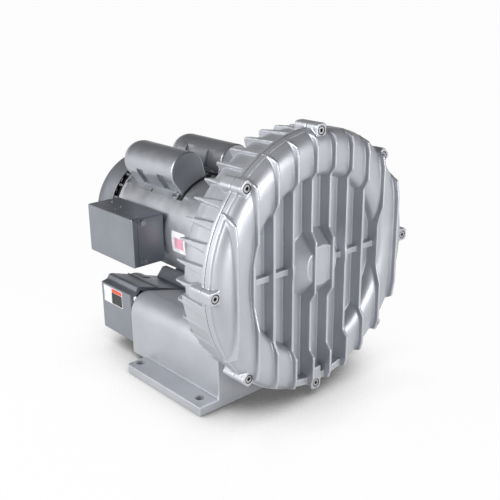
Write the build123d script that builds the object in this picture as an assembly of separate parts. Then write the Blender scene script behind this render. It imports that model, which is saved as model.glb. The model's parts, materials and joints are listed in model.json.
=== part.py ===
from build123d import *
import os
from math import cos, radians, sin, sqrt

# Side channel blower with a cast ring housing on a silencer base, driven by a
# single-phase motor with two capacitors. Millimetres.
# Frame: +X to the right seen from the cover, +Y from the cover to the motor fan, +Z up.
# Origin: the middle of the four foot holes, on the floor.
# Everything on the shaft line is drawn about the Y axis, with y = 0 at the joint between
# cover and housing, and on_shaft() then lifts it into place. These y values are stations.

# Shaft line and base
SHAFT_HEIGHT = 205.0
JOINT_Y = -143.7
BASE_W = 255.2
FOOT_HOLE_OUT = 17.4
FOOT_HOLE_EDGE = 17.7
FOOT_HOLE_SPACING_Y = 146.0
FOOT_HOLE_R = 7.0
FOOT_T = 14.0
FOOT_REAR_Y = 85.3
FOOT_CORNER_R = 10.0
BASE_FRONT_Y = -95.0
BASE_REAR_Y = 119.3
BASE_SHOULDER_Z = 117.0
BASE_SHOULDER_R = 30.0
BASE_VALLEY_Z = 87.0
BASE_VALLEY_W = 32.0
BASE_SPINE_Z = 101.0
BASE_SPINE_W = 8.0
CAST_WALL = 5.0
BASE_WALL = 6.0
FUSE = 1.0
PARTITION_T = 7.0

# Silencer extension behind the base
EXTENSION_REAR_Y = 203.3
EXTENSION_INSET = 1.0
EXTENSION_LOW_Z = 25.0
EXTENSION_SIDE_Z = 107.0
EXTENSION_RIDGE_IN = 17.6
EXTENSION_RIDGE_Z = 116.0
EXTENSION_RIB_IN = 53.1
EXTENSION_RIB_H = 1.6
EXTENSION_RIB_W = 2.4
GASKET_T = 1.0
LONG_SCREW_R = 3.0
LONG_SCREW_HEAD_R = 5.0
LONG_SCREW_HEAD_H = 6.0
LONG_SCREW_SOCKET_R = 2.9
LONG_SCREW_REACH = 18.0
LONG_SCREW_BOSS_R = 9.0
LONG_SCREW_BOSS_L = 25.0
LOW_SCREW_IN = 14.0
LOW_SCREW_UP = 13.0
HIGH_SCREW_IN = 30.0
HIGH_SCREW_DOWN = 8.0
PORT_X = 61.0
PORT_Z = 64.0
PORT_R = 28.6
PORT_BOSS_R = 37.0
PORT_BOSS_L = 9.0
PORT_LENGTH = 26.0
FOAM_T = 14.0
FOAM_GAP = 0.3

# Ring channel, shared by cover, impeller and housing
CHANNEL_R = 151.0
CHANNEL_SECTION_R = 24.0
STRIPPER_EXTRA = 5.0
IMPELLER_W = 45.0
FACE_GAP = 0.5
RIM_GAP = 0.6
FLANGE_R = 187.0

# Cover
COVER_FLANGE_T = 5.0
COVER_RIM_T = 9.5
COVER_RIM_W = 9.0
COVER_RING_HALF_W = 34.0
FIN_PITCH = 34.8
FIN_COUNT = 10
FIN_ROOT_T = 6.0
FIN_EDGE_T = 3.4
FIN_HIGH = 31.0
FIN_LOW = 22.5
FIN_CHAMFER = 4.0
STEP_OUTER_R = 137.0
STEP_INNER_R = 126.0
HUB_STEP_OUTER_R = 50.0
HUB_STEP_INNER_R = 39.0
HUB_ROOT_R = 45.0
HUB_TOP_R = 26.0
HUB_H = 27.0
CROSS_RIB_T = 6.5
CROSS_RIB_H = 14.0
RIM_WALL_T = 11.0
RIM_WALL_H = 19.0

# Cover bolts
BOLT_COUNT = 8
BOLT_CIRCLE_R = 185.0
BOLT_R = 3.0
BOLT_HEAD_R = 5.0
BOLT_HEAD_H = 6.0
BOLT_LENGTH = 24.0
SOCKET_R = 2.9
SOCKET_DEPTH = 3.0
WASHER_R = 6.2
WASHER_T = 1.6
LUG_R = 9.5
LUG_H = 19.0
LUG_SEAT = 11.0
LUG_FOOT_R = 164.0
BACK_LUG_H = 22.0

# Housing
HOUSING_FLANGE_T = 7.0
HOUSING_WALL = 6.0
REAR_WALL_T = 14.0
PORT_DUCT_X = 80.0
PORT_DUCT_R = 20.0
RIB_COUNT = 40
RIB_T = 5.0
RIB_DROP = 1.0
RIB_TIP_R = 179.0
RIB_ROOT_R = 158.0
RIB_END = 72.0
RIB_CORNER_R = 7.0
LUG_BRACE_END = 48.0
LUG_BRACE_T = 4.0
LUG_BRACE_DROP = 4.0

# Impeller
IMPELLER_R = CHANNEL_R + CHANNEL_SECTION_R
HUB_R = 32.0
WEB_T = 12.0
POCKET_SECTION_R = 21.0
BLADE_COUNT = 30
BLADE_T = 3.0
RING_ROOT_R = 122.0

# Shaft
SLIP = 0.03
SEAT_R = 12.0
THREAD_R = 10.0
THREAD_LENGTH = 15.0
JOURNAL_R = 15.0
BODY_R = 18.0
REAR_JOURNAL_R = 12.5
FAN_SEAT_R = 11.0
SEAT_END = 47.5
KEY_W = 8.0
KEY_H = 7.0
KEY_LENGTH = 32.0
KEY_START = 8.0
NUT_FLATS = 30.0
NUT_H = 10.0
NUT_WASHER_R = 20.0
NUT_WASHER_T = 2.5

# Seal and bearings
SEAL_R = 23.5
SEAL_W = 7.0
SEAL_START = 50.0
FRONT_BEARING_R = 31.0
FRONT_BEARING_W = 16.0
FRONT_BEARING_START = 72.0
REAR_BEARING_R = 26.0
REAR_BEARING_W = 15.0
REAR_BEARING_START = 326.0
BEARING_WALL = 8.0
RACE_SHARE = 0.3
BALL_SHARE = 0.26
BALL_COUNT = 8
SPRING_T = 3.0
CLIP_T = 1.5
CLIP_H = 2.5

# Motor
SHELL_R = 82.5
SHELL_T = 2.5
SHELL_START = 92.0
SHELL_END = 352.0
BELL_FLANGE_W = 20.0
BELL_FLANGE_T = 10.0
BELL_BOLT_OUT = 12.0
BELL_BOLT_COUNT = 4
BELL_BOLT_FIRST = 45.0
SPIGOT_L = 8.0
STATOR_START = 150.0
STATOR_END = 262.0
STATOR_BORE_R = 48.1
AIR_GAP = 0.5
SLOT_COUNT = 24
YOKE_T = 12.0
SLOT_W = 5.4
WINDING_GAP = 0.3
END_TURN_L = 24.0
END_RING_L = 12.0
TIE_BOLT_R = 3.0
TIE_BOLT_IN = 7.0
TIE_BOLT_COUNT = 4
TIE_BOLT_FIRST = 45.0
TIE_NOTCH_R = 4.2
TIE_HEAD_FLATS = 10.0
TIE_HEAD_H = 4.0
SWITCH_START = 292.0
SWITCH_COLLAR_R = 27.0
SWITCH_COLLAR_W = 12.0
SWITCH_PLATE_IN = 20.0
SWITCH_PLATE_T = 2.5
REAR_BELL_END = 359.0
REAR_BELL_HUB_R = 35.0
AIR_HOLE_MARGIN = 6.0
AIR_HOLE_W = 22.0
SLOT_RING_L = 12.0
POST_COUNT = 24
POST_W = 3.0

# Fan and its cowl
COWL_FRONT_OUT = 2.5
COWL_OUT = 10.5
COWL_FLARE_END = 388.0
COWL_FLARE_R = 30.0
COWL_REAR = 406.0
COWL_T = 2.5
COWL_CORNER_R = 9.0
FAN_GAP = 8.5
FAN_HUB_R = 20.0
FAN_START = 366.0
FAN_PLATE_T = 4.0
FAN_W = 30.0
FAN_BLADES = 9
FAN_BLADE_T = 3.0
GRILLE_SLOTS = 18
GRILLE_INNER_R = 30.0
GRILLE_MARGIN = 17.0
GRILLE_SLOT_W = 7.0

# Conduit box on the left of the motor
CONDUIT_GAP = 2.0
CONDUIT_DEPTH = 46.5
LID_DEPTH = 9.0
CONDUIT_START = 226.0
CONDUIT_END = 349.0
CONDUIT_LOW = -40.0
CONDUIT_HIGH = 37.0
SHEET_T = 2.0
BEND_R = 3.0
LID_EDGE_R = 1.5
TAB_W = 10.0
TAB_L = 18.0
TAB_EDGE = 8.0
TAB_T = 1.5
TAB_GAP = 0.3
LEAD_HOLE_R = 14.0
LEAD_GROMMET_R = 17.0
GROMMET_FLANGE_T = 2.0
GROMMET_WALL = 4.0
KNOCKOUT_R = 11.0
PAD_H = 44.0
SMALL_SCREW_R = 2.0
SMALL_HEAD_R = 4.2
SMALL_HEAD_H = 2.6
SMALL_SCREW_L = 7.0

# Capacitor covers on top of the motor
CAN_ANGLES = (115.0, 62.0)
CAN_CENTRE_OUT = 23.5
CAN_R = 31.0
CAN_FOOT_IN = 16.5
CAN_FOOT_HALF_W = 23.5
CAN_START = 210.0
CAN_DOME_START = 326.0
CAN_T = 1.6
CAN_EDGE_R = 3.0
CAN_FLANGE_ANGLE = 24.0
CAN_FLANGE_END = 351.0
CAN_PAD_T = 2.0
CAN_PAD_LIP = 5.0
CAN_SCREW_ANGLE = 21.2
CAN_FRONT_SCREW = 13.0
CAN_REAR_SCREW = 7.0
CAN_HEAD_R = 3.4
CAN_RECESS_LOW = 3.5
CAN_RECESS_HIGH = 35.5
CAN_RECESS_DEPTH = 6.0
CAN_RECESS_W = 17.0
CAN_RECESS_PITCH = 54.0
CAPACITOR_R = 25.0
CAPACITOR_L = 112.0
CAPACITOR_START = 216.0


# Values that follow from the ones above
CHAMBER_DEPTH = IMPELLER_W + 2 * FACE_GAP
REAR_FACE = CHAMBER_DEPTH + REAR_WALL_T
IMPELLER_REAR = FACE_GAP + IMPELLER_W
STRIPPER_HALF = FIN_PITCH * 1.5
COVER_SECTION_R = CHANNEL_SECTION_R + CAST_WALL
HOUSING_SECTION_R = CHANNEL_SECTION_R + HOUSING_WALL
FOOT_HOLE_SPACING_X = BASE_W + 2 * FOOT_HOLE_OUT
FOOT_W = FOOT_HOLE_SPACING_X + 2 * FOOT_HOLE_EDGE
EXTENSION_RIDGE_X = BASE_W / 2 - EXTENSION_RIDGE_IN
EXTENSION_RIB_X = BASE_W / 2 - EXTENSION_RIB_IN
SHELL_BORE_R = SHELL_R - SHELL_T
BELL_FLANGE_R = SHELL_R + BELL_FLANGE_W
BELL_BOLT_R = SHELL_R + BELL_BOLT_OUT
TIE_BOLT_CIRCLE_R = SHELL_R - TIE_BOLT_IN
SLOT_R = SHELL_BORE_R - YOKE_T
ROTOR_R = STATOR_BORE_R - AIR_GAP
SWITCH_PLATE_R = SHELL_BORE_R - SWITCH_PLATE_IN
COWL_START = REAR_BELL_END + SLOT_RING_L
COWL_FRONT_R = SHELL_R + COWL_FRONT_OUT
COWL_R = SHELL_R + COWL_OUT
FAN_R = SHELL_R - FAN_GAP
GRILLE_OUTER_R = COWL_R - GRILLE_MARGIN
CONDUIT_BACK_X = -SHELL_R - CONDUIT_GAP
CONDUIT_SPLIT_X = CONDUIT_BACK_X - CONDUIT_DEPTH
CONDUIT_FACE_X = CONDUIT_SPLIT_X - LID_DEPTH
CAN_SEAT_R = SHELL_R + CAN_PAD_T
CAN_CENTRE_R = SHELL_R + CAN_CENTRE_OUT
CAN_FOOT_R = SHELL_R - CAN_FOOT_IN


# Drawing helpers

def outline(*corners):
    """Closed face through (x, y) corners, or (x, y, radius) where a corner is rounded."""
    points = [corner[:2] for corner in corners]
    radii = [corner[2] if len(corner) > 2 else 0 for corner in corners]
    return make_face(FilletPolyline(*points, radius=radii, close=True))


def turned(*corners):
    """Turns an outline of (radius, station) corners about the shaft line."""
    return revolve(outline(*corners), axis=Axis.Y)


def rod(radius, start, end):
    return turned((0, start), (radius, start), (radius, end), (0, end))


def tube(outer, inner, start, end):
    return turned((inner, start), (outer, start), (outer, end), (inner, end))


def block(x0, x1, y0, y1, z0, z1):
    size = Box(x1 - x0, y1 - y0, z1 - z0)
    return Pos((x0 + x1) / 2, (y0 + y1) / 2, (z0 + z1) / 2) * size


def along_y(face, start, end):
    """Carries an outline drawn in X and Z along Y."""
    return Pos(0, start, 0) * extrude(Plane.XZ * face, start - end)


def half_ring(section_r, station, side):
    """Half of a round-section ring about the channel's middle, on one side of a station."""
    disc = Pos(CHANNEL_R, station) * Circle(section_r)
    keep = Pos(CHANNEL_R, station + side * section_r / 2) * Rectangle(2 * section_r, section_r)
    return revolve(disc & keep, axis=Axis.Y)


def turn(shape, angle):
    """Turns a shape about the shaft line, from +X towards +Z."""
    return Rot(0, -angle, 0) * shape


def around(shape, count, first=0.0):
    """Copies of a shape, evenly spaced about the shaft line."""
    return [turn(shape, first + 360 * n / count) for n in range(count)]


def group(shapes):
    """Separate solids that share one node."""
    return Compound([solid for shape in shapes for solid in shape.solids()])


def both_sides(shape):
    """A shape and its mirror image in the plane of the shaft line."""
    return [shape, mirror(shape, Plane.YZ)]


def on_shaft(shape):
    """Lifts a shape drawn about the Y axis to the shaft line."""
    return Pos(0, JOINT_Y, SHAFT_HEIGHT) * shape


def fin_places():
    return [FIN_PITCH * (n - (FIN_COUNT - 1) / 2) for n in range(FIN_COUNT)]


def stripper(half_width, start, end):
    """The stretch at the bottom of the ring where the channel is closed."""
    return block(-half_width, half_width, start, end, -FLANGE_R, 0)


# Cover

def cover_fins():
    """Upright fins with draft, cut to one stepped outline that is turned about the shaft."""
    envelope = turned(
        (0, -COVER_FLANGE_T),
        (FLANGE_R, -COVER_FLANGE_T),
        (FLANGE_R, FIN_CHAMFER - FIN_HIGH),
        (FLANGE_R - FIN_CHAMFER, -FIN_HIGH),
        (STEP_OUTER_R, -FIN_HIGH),
        (STEP_INNER_R, -FIN_LOW),
        (HUB_STEP_OUTER_R, -FIN_LOW),
        (HUB_STEP_INNER_R, -FIN_HIGH),
        (0, -FIN_HIGH),
    )
    section = outline(
        (-FIN_ROOT_T / 2, 0),
        (FIN_ROOT_T / 2, 0),
        (FIN_EDGE_T / 2, -FIN_HIGH),
        (-FIN_EDGE_T / 2, -FIN_HIGH),
    )
    fin = extrude(section, FLANGE_R, both=True)
    return [envelope & (Pos(x, 0, 0) * fin) for x in fin_places()]


def cover_ring():
    """Outside of the ring channel on the cover: a broad oval section, flat at the joint."""
    oval = Pos(CHANNEL_R, 0) * Ellipse(COVER_RING_HALF_W, COVER_SECTION_R)
    keep = Pos(CHANNEL_R, -COVER_SECTION_R / 2) * Rectangle(2 * COVER_RING_HALF_W, COVER_SECTION_R)
    return revolve(oval & keep, axis=Axis.Y)


def cover_lug():
    """One bolt lug with its web to the ring, at +X."""
    boss = Pos(BOLT_CIRCLE_R, 0, 0) * rod(LUG_R, -LUG_H, 0)
    web = block(LUG_FOOT_R, BOLT_CIRCLE_R, -LUG_H, 0, -LUG_R, LUG_R)
    return boss + web


def cover_bolt_hole():
    hole = rod(BOLT_R + SLIP * 5, -LUG_H, 0)
    seat = rod(WASHER_R + SLIP * 5, -LUG_H, -LUG_SEAT)
    return Pos(BOLT_CIRCLE_R, 0, 0) * (hole + seat)


def cover():
    hub = turned((0, -COVER_FLANGE_T), (HUB_ROOT_R, -COVER_FLANGE_T), (HUB_TOP_R, -HUB_H), (0, -HUB_H))
    hollow = turned(
        (0, 0),
        (HUB_ROOT_R - 2 * CAST_WALL, 0),
        (HUB_TOP_R - CAST_WALL / 2, CAST_WALL - HUB_H),
        (0, CAST_WALL - HUB_H),
    )
    ring = cover_ring() - stripper(STRIPPER_HALF, -COVER_SECTION_R, 0)
    channel = half_ring(CHANNEL_SECTION_R, 0, -1)
    channel -= stripper(STRIPPER_HALF + STRIPPER_EXTRA, -COVER_SECTION_R, 0)
    rim = tube(FLANGE_R - RIM_WALL_T / 2, FLANGE_R - 1.5 * RIM_WALL_T, -RIM_WALL_H, 0)
    rim &= stripper(STRIPPER_HALF, -RIM_WALL_H, 0)
    rim += tube(FLANGE_R, FLANGE_R - COVER_RIM_W, -COVER_RIM_T, 0)
    reach = FIN_PITCH * (FIN_COUNT / 2 - 1.5)
    cross_rib = block(-reach, reach, -CROSS_RIB_H, 0, -CROSS_RIB_T / 2, CROSS_RIB_T / 2)
    body = rod(FLANGE_R, -COVER_FLANGE_T, 0) + [ring, hub, rim, cross_rib]
    body += around(cover_lug(), BOLT_COUNT)
    body += cover_fins()
    body -= [channel, hollow]
    body -= around(cover_bolt_hole(), BOLT_COUNT)
    return on_shaft(body)


def cover_bolts():
    """Socket head screws, each one solid."""
    seat = -LUG_SEAT - WASHER_T
    shank = rod(BOLT_R, seat, BOLT_LENGTH - LUG_SEAT)
    head = rod(BOLT_HEAD_R, seat - BOLT_HEAD_H, seat)
    socket = along_y(RegularPolygon(SOCKET_R, 6), seat - BOLT_HEAD_H, seat - BOLT_HEAD_H + SOCKET_DEPTH)
    screw = Pos(BOLT_CIRCLE_R, 0, 0) * (head + shank - socket)
    return on_shaft(group(around(screw, BOLT_COUNT)))


def cover_washers():
    washer = tube(WASHER_R, BOLT_R + SLIP, -LUG_SEAT - WASHER_T, -LUG_SEAT)
    washer = Pos(BOLT_CIRCLE_R, 0, 0) * washer
    return on_shaft(group(around(washer, BOLT_COUNT)))


# Housing with its silencer base, one casting

def base_outline():
    """Cross-section of the base: round shoulders, and a valley with a spine under the motor."""
    half = BASE_W / 2
    right = [
        (half, FOOT_T - FUSE),
        (half, BASE_SHOULDER_Z, BASE_SHOULDER_R),
        (BASE_VALLEY_W / 2, BASE_VALLEY_Z),
        (BASE_SPINE_W / 2, BASE_SPINE_Z),
    ]
    left = [(-corner[0], *corner[1:]) for corner in reversed(right)]
    return outline(*right, *left)


def extension_outline():
    """Cross-section of the extension: the same valley, with a hollow chamfer outside the ridge."""
    half = BASE_W / 2 - EXTENSION_INSET
    right = [
        (half, EXTENSION_LOW_Z, 4),
        (half, EXTENSION_SIDE_Z, 2),
        (EXTENSION_RIDGE_X + 6, EXTENSION_SIDE_Z + 2, 5),
        (EXTENSION_RIDGE_X + 2, EXTENSION_RIDGE_Z, 1.5),
        (EXTENSION_RIDGE_X - 4, EXTENSION_RIDGE_Z, 1.5),
        (BASE_VALLEY_W / 2, BASE_VALLEY_Z),
        (BASE_SPINE_W / 2, BASE_SPINE_Z),
    ]
    left = [(-corner[0], *corner[1:]) for corner in reversed(right)]
    return outline(*right, *left)


def chambers(section, wall):
    """The inlet and outlet chambers inside a cross-section, either side of the partition."""
    inner = offset(section, -wall, kind=Kind.INTERSECTION)
    return inner - Pos(0, SHAFT_HEIGHT / 2) * Rectangle(PARTITION_T, SHAFT_HEIGHT)


def foot_plate():
    plate = outline(
        (FOOT_W / 2, BASE_FRONT_Y),
        (FOOT_W / 2, FOOT_REAR_Y, FOOT_CORNER_R),
        (-FOOT_W / 2, FOOT_REAR_Y, FOOT_CORNER_R),
        (-FOOT_W / 2, BASE_FRONT_Y),
    )
    holes = GridLocations(FOOT_HOLE_SPACING_X, FOOT_HOLE_SPACING_Y, 2, 2) * Circle(FOOT_HOLE_R)
    return extrude(plate - holes, FOOT_T)


def ring_rib():
    """One radial rib at +X, from the flange back over the ring."""
    side = outline(
        (RIB_ROOT_R, HOUSING_FLANGE_T / 2),
        (FLANGE_R - RIB_DROP, HOUSING_FLANGE_T / 2),
        (RIB_TIP_R, RIB_END, RIB_CORNER_R),
        (RIB_ROOT_R, RIB_END),
    )
    return extrude(side, RIB_T / 2, both=True)


def back_lug():
    """One bolt lug behind the flange at +X, braced by two short walls that meet on its rib."""
    lug = Pos(BOLT_CIRCLE_R, 0, 0) * rod(LUG_R, 0, BACK_LUG_H)
    lug += block(LUG_FOOT_R, BOLT_CIRCLE_R, 0, BACK_LUG_H, -LUG_R, LUG_R)
    start = BACK_LUG_H - FUSE
    slope = (LUG_BRACE_END - start) / LUG_R
    inner_half = LUG_R - LUG_BRACE_T
    brace = outline((start, LUG_R), (LUG_BRACE_END, 0), (start, -LUG_R))
    brace -= outline((start, inner_half), (start + slope * inner_half, 0), (start, -inner_half))
    length = FLANGE_R - LUG_BRACE_DROP - LUG_FOOT_R
    return lug + Pos(LUG_FOOT_R, 0, 0) * extrude(Plane.YZ * brace, length)


def ring_body():
    """Outside of the ring housing, without fins."""
    body = rod(CHANNEL_R + HOUSING_SECTION_R, 0, CHAMBER_DEPTH)
    body += rod(FLANGE_R, 0, HOUSING_FLANGE_T)
    body += half_ring(HOUSING_SECTION_R, CHAMBER_DEPTH, 1)
    return body + rod(CHANNEL_R, CHAMBER_DEPTH, REAR_FACE)


def ring_cuts():
    """Impeller chamber, rear channel, port ducts, seal seat and screw holes."""
    chamber = rod(IMPELLER_R + RIM_GAP, 0, CHAMBER_DEPTH)
    channel = half_ring(CHANNEL_SECTION_R, CHAMBER_DEPTH, 1)
    channel -= stripper(STRIPPER_HALF + STRIPPER_EXTRA, 0, REAR_FACE + CHANNEL_R)
    drop = sqrt(CHANNEL_R ** 2 - PORT_DUCT_X ** 2)
    duct = rod(PORT_DUCT_R, CHAMBER_DEPTH, CHAMBER_DEPTH + 2 * PORT_DUCT_R)
    ducts = both_sides(Pos(PORT_DUCT_X, 0, -drop) * duct)
    shaft_hole = rod(JOURNAL_R + 1.5, CHAMBER_DEPTH, REAR_FACE)
    seal_seat = rod(SEAL_R, SEAL_START, REAR_FACE)
    bolt = Pos(BOLT_CIRCLE_R, 0, 0) * rod(BOLT_R + SLIP, 0, BACK_LUG_H - 2)
    bell_bolt = Pos(BELL_BOLT_R, 0, 0) * rod(BOLT_R + SLIP, CHAMBER_DEPTH + 3, REAR_FACE)
    cuts = [chamber, channel, *ducts, shaft_hole, seal_seat]
    return cuts + around(bolt, BOLT_COUNT) + around(bell_bolt, BELL_BOLT_COUNT, BELL_BOLT_FIRST)


def base_body():
    return along_y(base_outline(), BASE_FRONT_Y, BASE_REAR_Y)


def screw_places():
    """Centres of the extension's screws, in X and Z."""
    low = (BASE_W / 2 - LOW_SCREW_IN, EXTENSION_LOW_Z + LOW_SCREW_UP)
    high = (BASE_W / 2 - HIGH_SCREW_IN, EXTENSION_SIDE_Z - HIGH_SCREW_DOWN)
    return [(side * x, z) for side in (-1, 1) for x, z in (low, high)]


def screw_bosses(start, end):
    return [along_y(Pos(x, z) * Circle(LONG_SCREW_BOSS_R), start, end) for x, z in screw_places()]


def screw_holes(start, end):
    return [along_y(Pos(x, z) * Circle(LONG_SCREW_R + SLIP), start, end) for x, z in screw_places()]


def housing():
    ring = ring_body()
    outside = on_shaft(ring + around(back_lug(), BOLT_COUNT) + around(ring_rib(), RIB_COUNT))
    hollow = along_y(chambers(base_outline(), BASE_WALL), BASE_FRONT_Y + 2 * CAST_WALL, BASE_REAR_Y)
    hollow -= on_shaft(ring)
    hollow -= screw_bosses(BASE_REAR_Y - LONG_SCREW_BOSS_L, BASE_REAR_Y)
    body = outside + [base_body(), foot_plate()]
    body -= hollow
    body -= [on_shaft(cut) for cut in ring_cuts()]
    return body - screw_holes(BASE_REAR_Y - LONG_SCREW_REACH - 2, BASE_REAR_Y)


# Silencer extension

def extension_gasket():
    section = extension_outline()
    face = section - chambers(section, BASE_WALL)
    face += [Pos(x, z) * Circle(LONG_SCREW_BOSS_R) for x, z in screw_places()]
    gasket = along_y(face & base_outline(), BASE_REAR_Y, BASE_REAR_Y + GASKET_T)
    return gasket - screw_holes(BASE_REAR_Y, BASE_REAR_Y + GASKET_T)


def silencer_extension():
    start = BASE_REAR_Y + GASKET_T
    section = extension_outline()
    body = along_y(section, start, EXTENSION_REAR_Y)
    slope = (EXTENSION_RIDGE_Z - BASE_VALLEY_Z) / (EXTENSION_RIDGE_X - 4 - BASE_VALLEY_W / 2)
    rib_z = BASE_VALLEY_Z + slope * (EXTENSION_RIB_X - BASE_VALLEY_W / 2)
    rib = block(EXTENSION_RIB_X - EXTENSION_RIB_W / 2, EXTENSION_RIB_X + EXTENSION_RIB_W / 2,
                start, EXTENSION_REAR_Y, rib_z - 2, rib_z + EXTENSION_RIB_H)
    body += both_sides(rib)
    hollow = along_y(chambers(section, BASE_WALL), start, EXTENSION_REAR_Y - 2 * CAST_WALL)
    body -= hollow - screw_bosses(start, EXTENSION_REAR_Y)
    port_end = EXTENSION_REAR_Y + PORT_BOSS_L
    collar = along_y(Circle(PORT_BOSS_R), port_end - PORT_LENGTH, port_end)
    body += both_sides(Pos(PORT_X, 0, PORT_Z) * collar)
    bore = along_y(Circle(PORT_R), port_end - PORT_LENGTH, port_end)
    body -= both_sides(Pos(PORT_X, 0, PORT_Z) * bore)
    return body - screw_holes(start, EXTENSION_REAR_Y)


def extension_screws():
    """Long screws through the extension into the base."""
    head = EXTENSION_REAR_Y
    end = head + LONG_SCREW_HEAD_H
    screw = along_y(Circle(LONG_SCREW_R), BASE_REAR_Y - LONG_SCREW_REACH, head)
    screw += along_y(Circle(LONG_SCREW_HEAD_R), head, end)
    screw -= along_y(RegularPolygon(LONG_SCREW_SOCKET_R, 6), (head + end) / 2, end)
    return group([Pos(x, 0, z) * screw for x, z in screw_places()])


def silencer_foam():
    """Open-cell liners that wrap the two chambers behind the ring."""
    inner = chambers(base_outline(), BASE_WALL + FOAM_GAP)
    core = chambers(base_outline(), BASE_WALL + FOAM_T)
    start = JOINT_Y + CHAMBER_DEPTH + HOUSING_SECTION_R + 6
    liner = along_y(inner - core, start, BASE_REAR_Y - LONG_SCREW_BOSS_L - FUSE)
    liner -= block(-PARTITION_T, PARTITION_T, start, BASE_REAR_Y, 0, SHAFT_HEIGHT)
    return group([liner])


# Impeller and what holds it

def impeller():
    middle = FACE_GAP + IMPELLER_W / 2
    body = turned(
        (SEAT_R + SLIP, FACE_GAP),
        (HUB_R, FACE_GAP),
        (HUB_R + 6, middle - WEB_T / 2, 4),
        (RING_ROOT_R - 4, middle - WEB_T / 2, 4),
        (RING_ROOT_R, FACE_GAP),
        (IMPELLER_R, FACE_GAP),
        (IMPELLER_R, IMPELLER_REAR),
        (RING_ROOT_R, IMPELLER_REAR),
        (RING_ROOT_R - 4, middle + WEB_T / 2, 4),
        (HUB_R + 6, middle + WEB_T / 2, 4),
        (HUB_R, IMPELLER_REAR),
        (SEAT_R + SLIP, IMPELLER_REAR),
    )
    blade = block(RING_ROOT_R, IMPELLER_R, 0, IMPELLER_REAR, -BLADE_T / 2, BLADE_T / 2)
    blades = around(blade, BLADE_COUNT)
    front = half_ring(POCKET_SECTION_R, FACE_GAP, 1) - blades
    rear = half_ring(POCKET_SECTION_R, IMPELLER_REAR, -1) - blades
    keyway = block(0, SEAT_R + KEY_H / 2, FACE_GAP, IMPELLER_REAR, -KEY_W / 2 - SLIP, KEY_W / 2 + SLIP)
    return on_shaft(body - front - rear - turn(keyway, 90))


def shaft_key():
    key = block(SEAT_R - KEY_H / 2, SEAT_R + KEY_H / 2 - SLIP * 2, KEY_START, KEY_START + KEY_LENGTH,
                -KEY_W / 2, KEY_W / 2)
    return on_shaft(turn(key, 90))


def shim_spacers():
    """Two thin rings that set the impeller's running gap against the shaft shoulder."""
    middle = (IMPELLER_REAR + SEAT_END) / 2
    shims = [tube(JOURNAL_R, SEAT_R + SLIP, a, b)
             for a, b in ((IMPELLER_REAR, middle), (middle, SEAT_END))]
    return on_shaft(group(shims))


def nut_washer():
    return on_shaft(tube(NUT_WASHER_R, THREAD_R + SLIP, FACE_GAP - NUT_WASHER_T, FACE_GAP))


def impeller_nut():
    start = FACE_GAP - NUT_WASHER_T - NUT_H
    nut = along_y(RegularPolygon(NUT_FLATS / 2, 6, major_radius=False), start, start + NUT_H)
    return on_shaft(nut - rod(THREAD_R + SLIP, start, start + NUT_H))


# Shaft, seal and bearings

def shaft_end():
    return FAN_START + FAN_W


def motor_shaft():
    front_end = FRONT_BEARING_START + FRONT_BEARING_W
    shaft = rod(THREAD_R, FACE_GAP - NUT_WASHER_T - THREAD_LENGTH, 0.5 + FACE_GAP)
    shaft += rod(SEAT_R, 0.5 + FACE_GAP, SEAT_END)
    shaft += rod(JOURNAL_R, SEAT_END, front_end)
    shaft += rod(BODY_R, front_end, REAR_BEARING_START)
    shaft += rod(REAR_JOURNAL_R, REAR_BEARING_START, REAR_BEARING_START + REAR_BEARING_W + 4)
    shaft += rod(FAN_SEAT_R, REAR_BEARING_START + REAR_BEARING_W, shaft_end())
    keyway = block(SEAT_R - KEY_H / 2, SEAT_R + 1, KEY_START, KEY_START + KEY_LENGTH, -KEY_W / 2, KEY_W / 2)
    groove_start = clip_station()
    groove = tube(JOURNAL_R + 1, JOURNAL_R - CLIP_H / 2, groove_start, groove_start + CLIP_T)
    return on_shaft(shaft - turn(keyway, 90) - groove)


def clip_station():
    return FRONT_BEARING_START - CLIP_T


def retaining_ring():
    """Open ring in the shaft groove in front of the front bearing."""
    start = clip_station()
    ring = tube(JOURNAL_R + CLIP_H / 2, JOURNAL_R - CLIP_H / 2 + SLIP, start, start + CLIP_T)
    return on_shaft(ring - block(0, 2 * JOURNAL_R, start, start + CLIP_T, -4, 4))


def shaft_seal():
    """Lip seal: a stepped rubber and steel ring, its lip just clear of the shaft."""
    end = SEAL_START + SEAL_W
    seal = turned(
        (SEAL_R, SEAL_START),
        (SEAL_R, end),
        (JOURNAL_R + 2.5, end),
        (JOURNAL_R + 0.05, end - 2),
        (JOURNAL_R + 0.05, end - 3),
        (JOURNAL_R + 3.5, end - 4),
        (JOURNAL_R + 5, SEAL_START + 1.5),
        (JOURNAL_R + 2.5, SEAL_START + 1.5),
        (JOURNAL_R + 2.5, SEAL_START),
    )
    return on_shaft(seal)


def bearing_parts(bore_r, outer_r, width, start):
    """Inner race, outer race with seals and ball set of one deep-groove bearing."""
    wall = (outer_r - bore_r) * RACE_SHARE
    middle = start + width / 2
    pitch_r = (bore_r + outer_r) / 2
    ball_r = (outer_r - bore_r) * BALL_SHARE
    groove = revolve(Pos(pitch_r, middle) * Circle(ball_r + SLIP), axis=Axis.Y)
    inner = tube(bore_r + wall, bore_r, start, start + width) - groove
    outer = tube(outer_r, outer_r - wall, start, start + width) - groove
    return inner, outer, pitch_r, middle, ball_r


def bearing_inner(bore_r, outer_r, width, start):
    return on_shaft(bearing_parts(bore_r, outer_r, width, start)[0])


def bearing_outer(bore_r, outer_r, width, start):
    return on_shaft(bearing_parts(bore_r, outer_r, width, start)[1])


def bearing_balls(bore_r, outer_r, width, start):
    parts = bearing_parts(bore_r, outer_r, width, start)
    ball = Pos(parts[2], parts[3], 0) * Sphere(parts[4])
    return on_shaft(group(around(ball, BALL_COUNT)))


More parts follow.
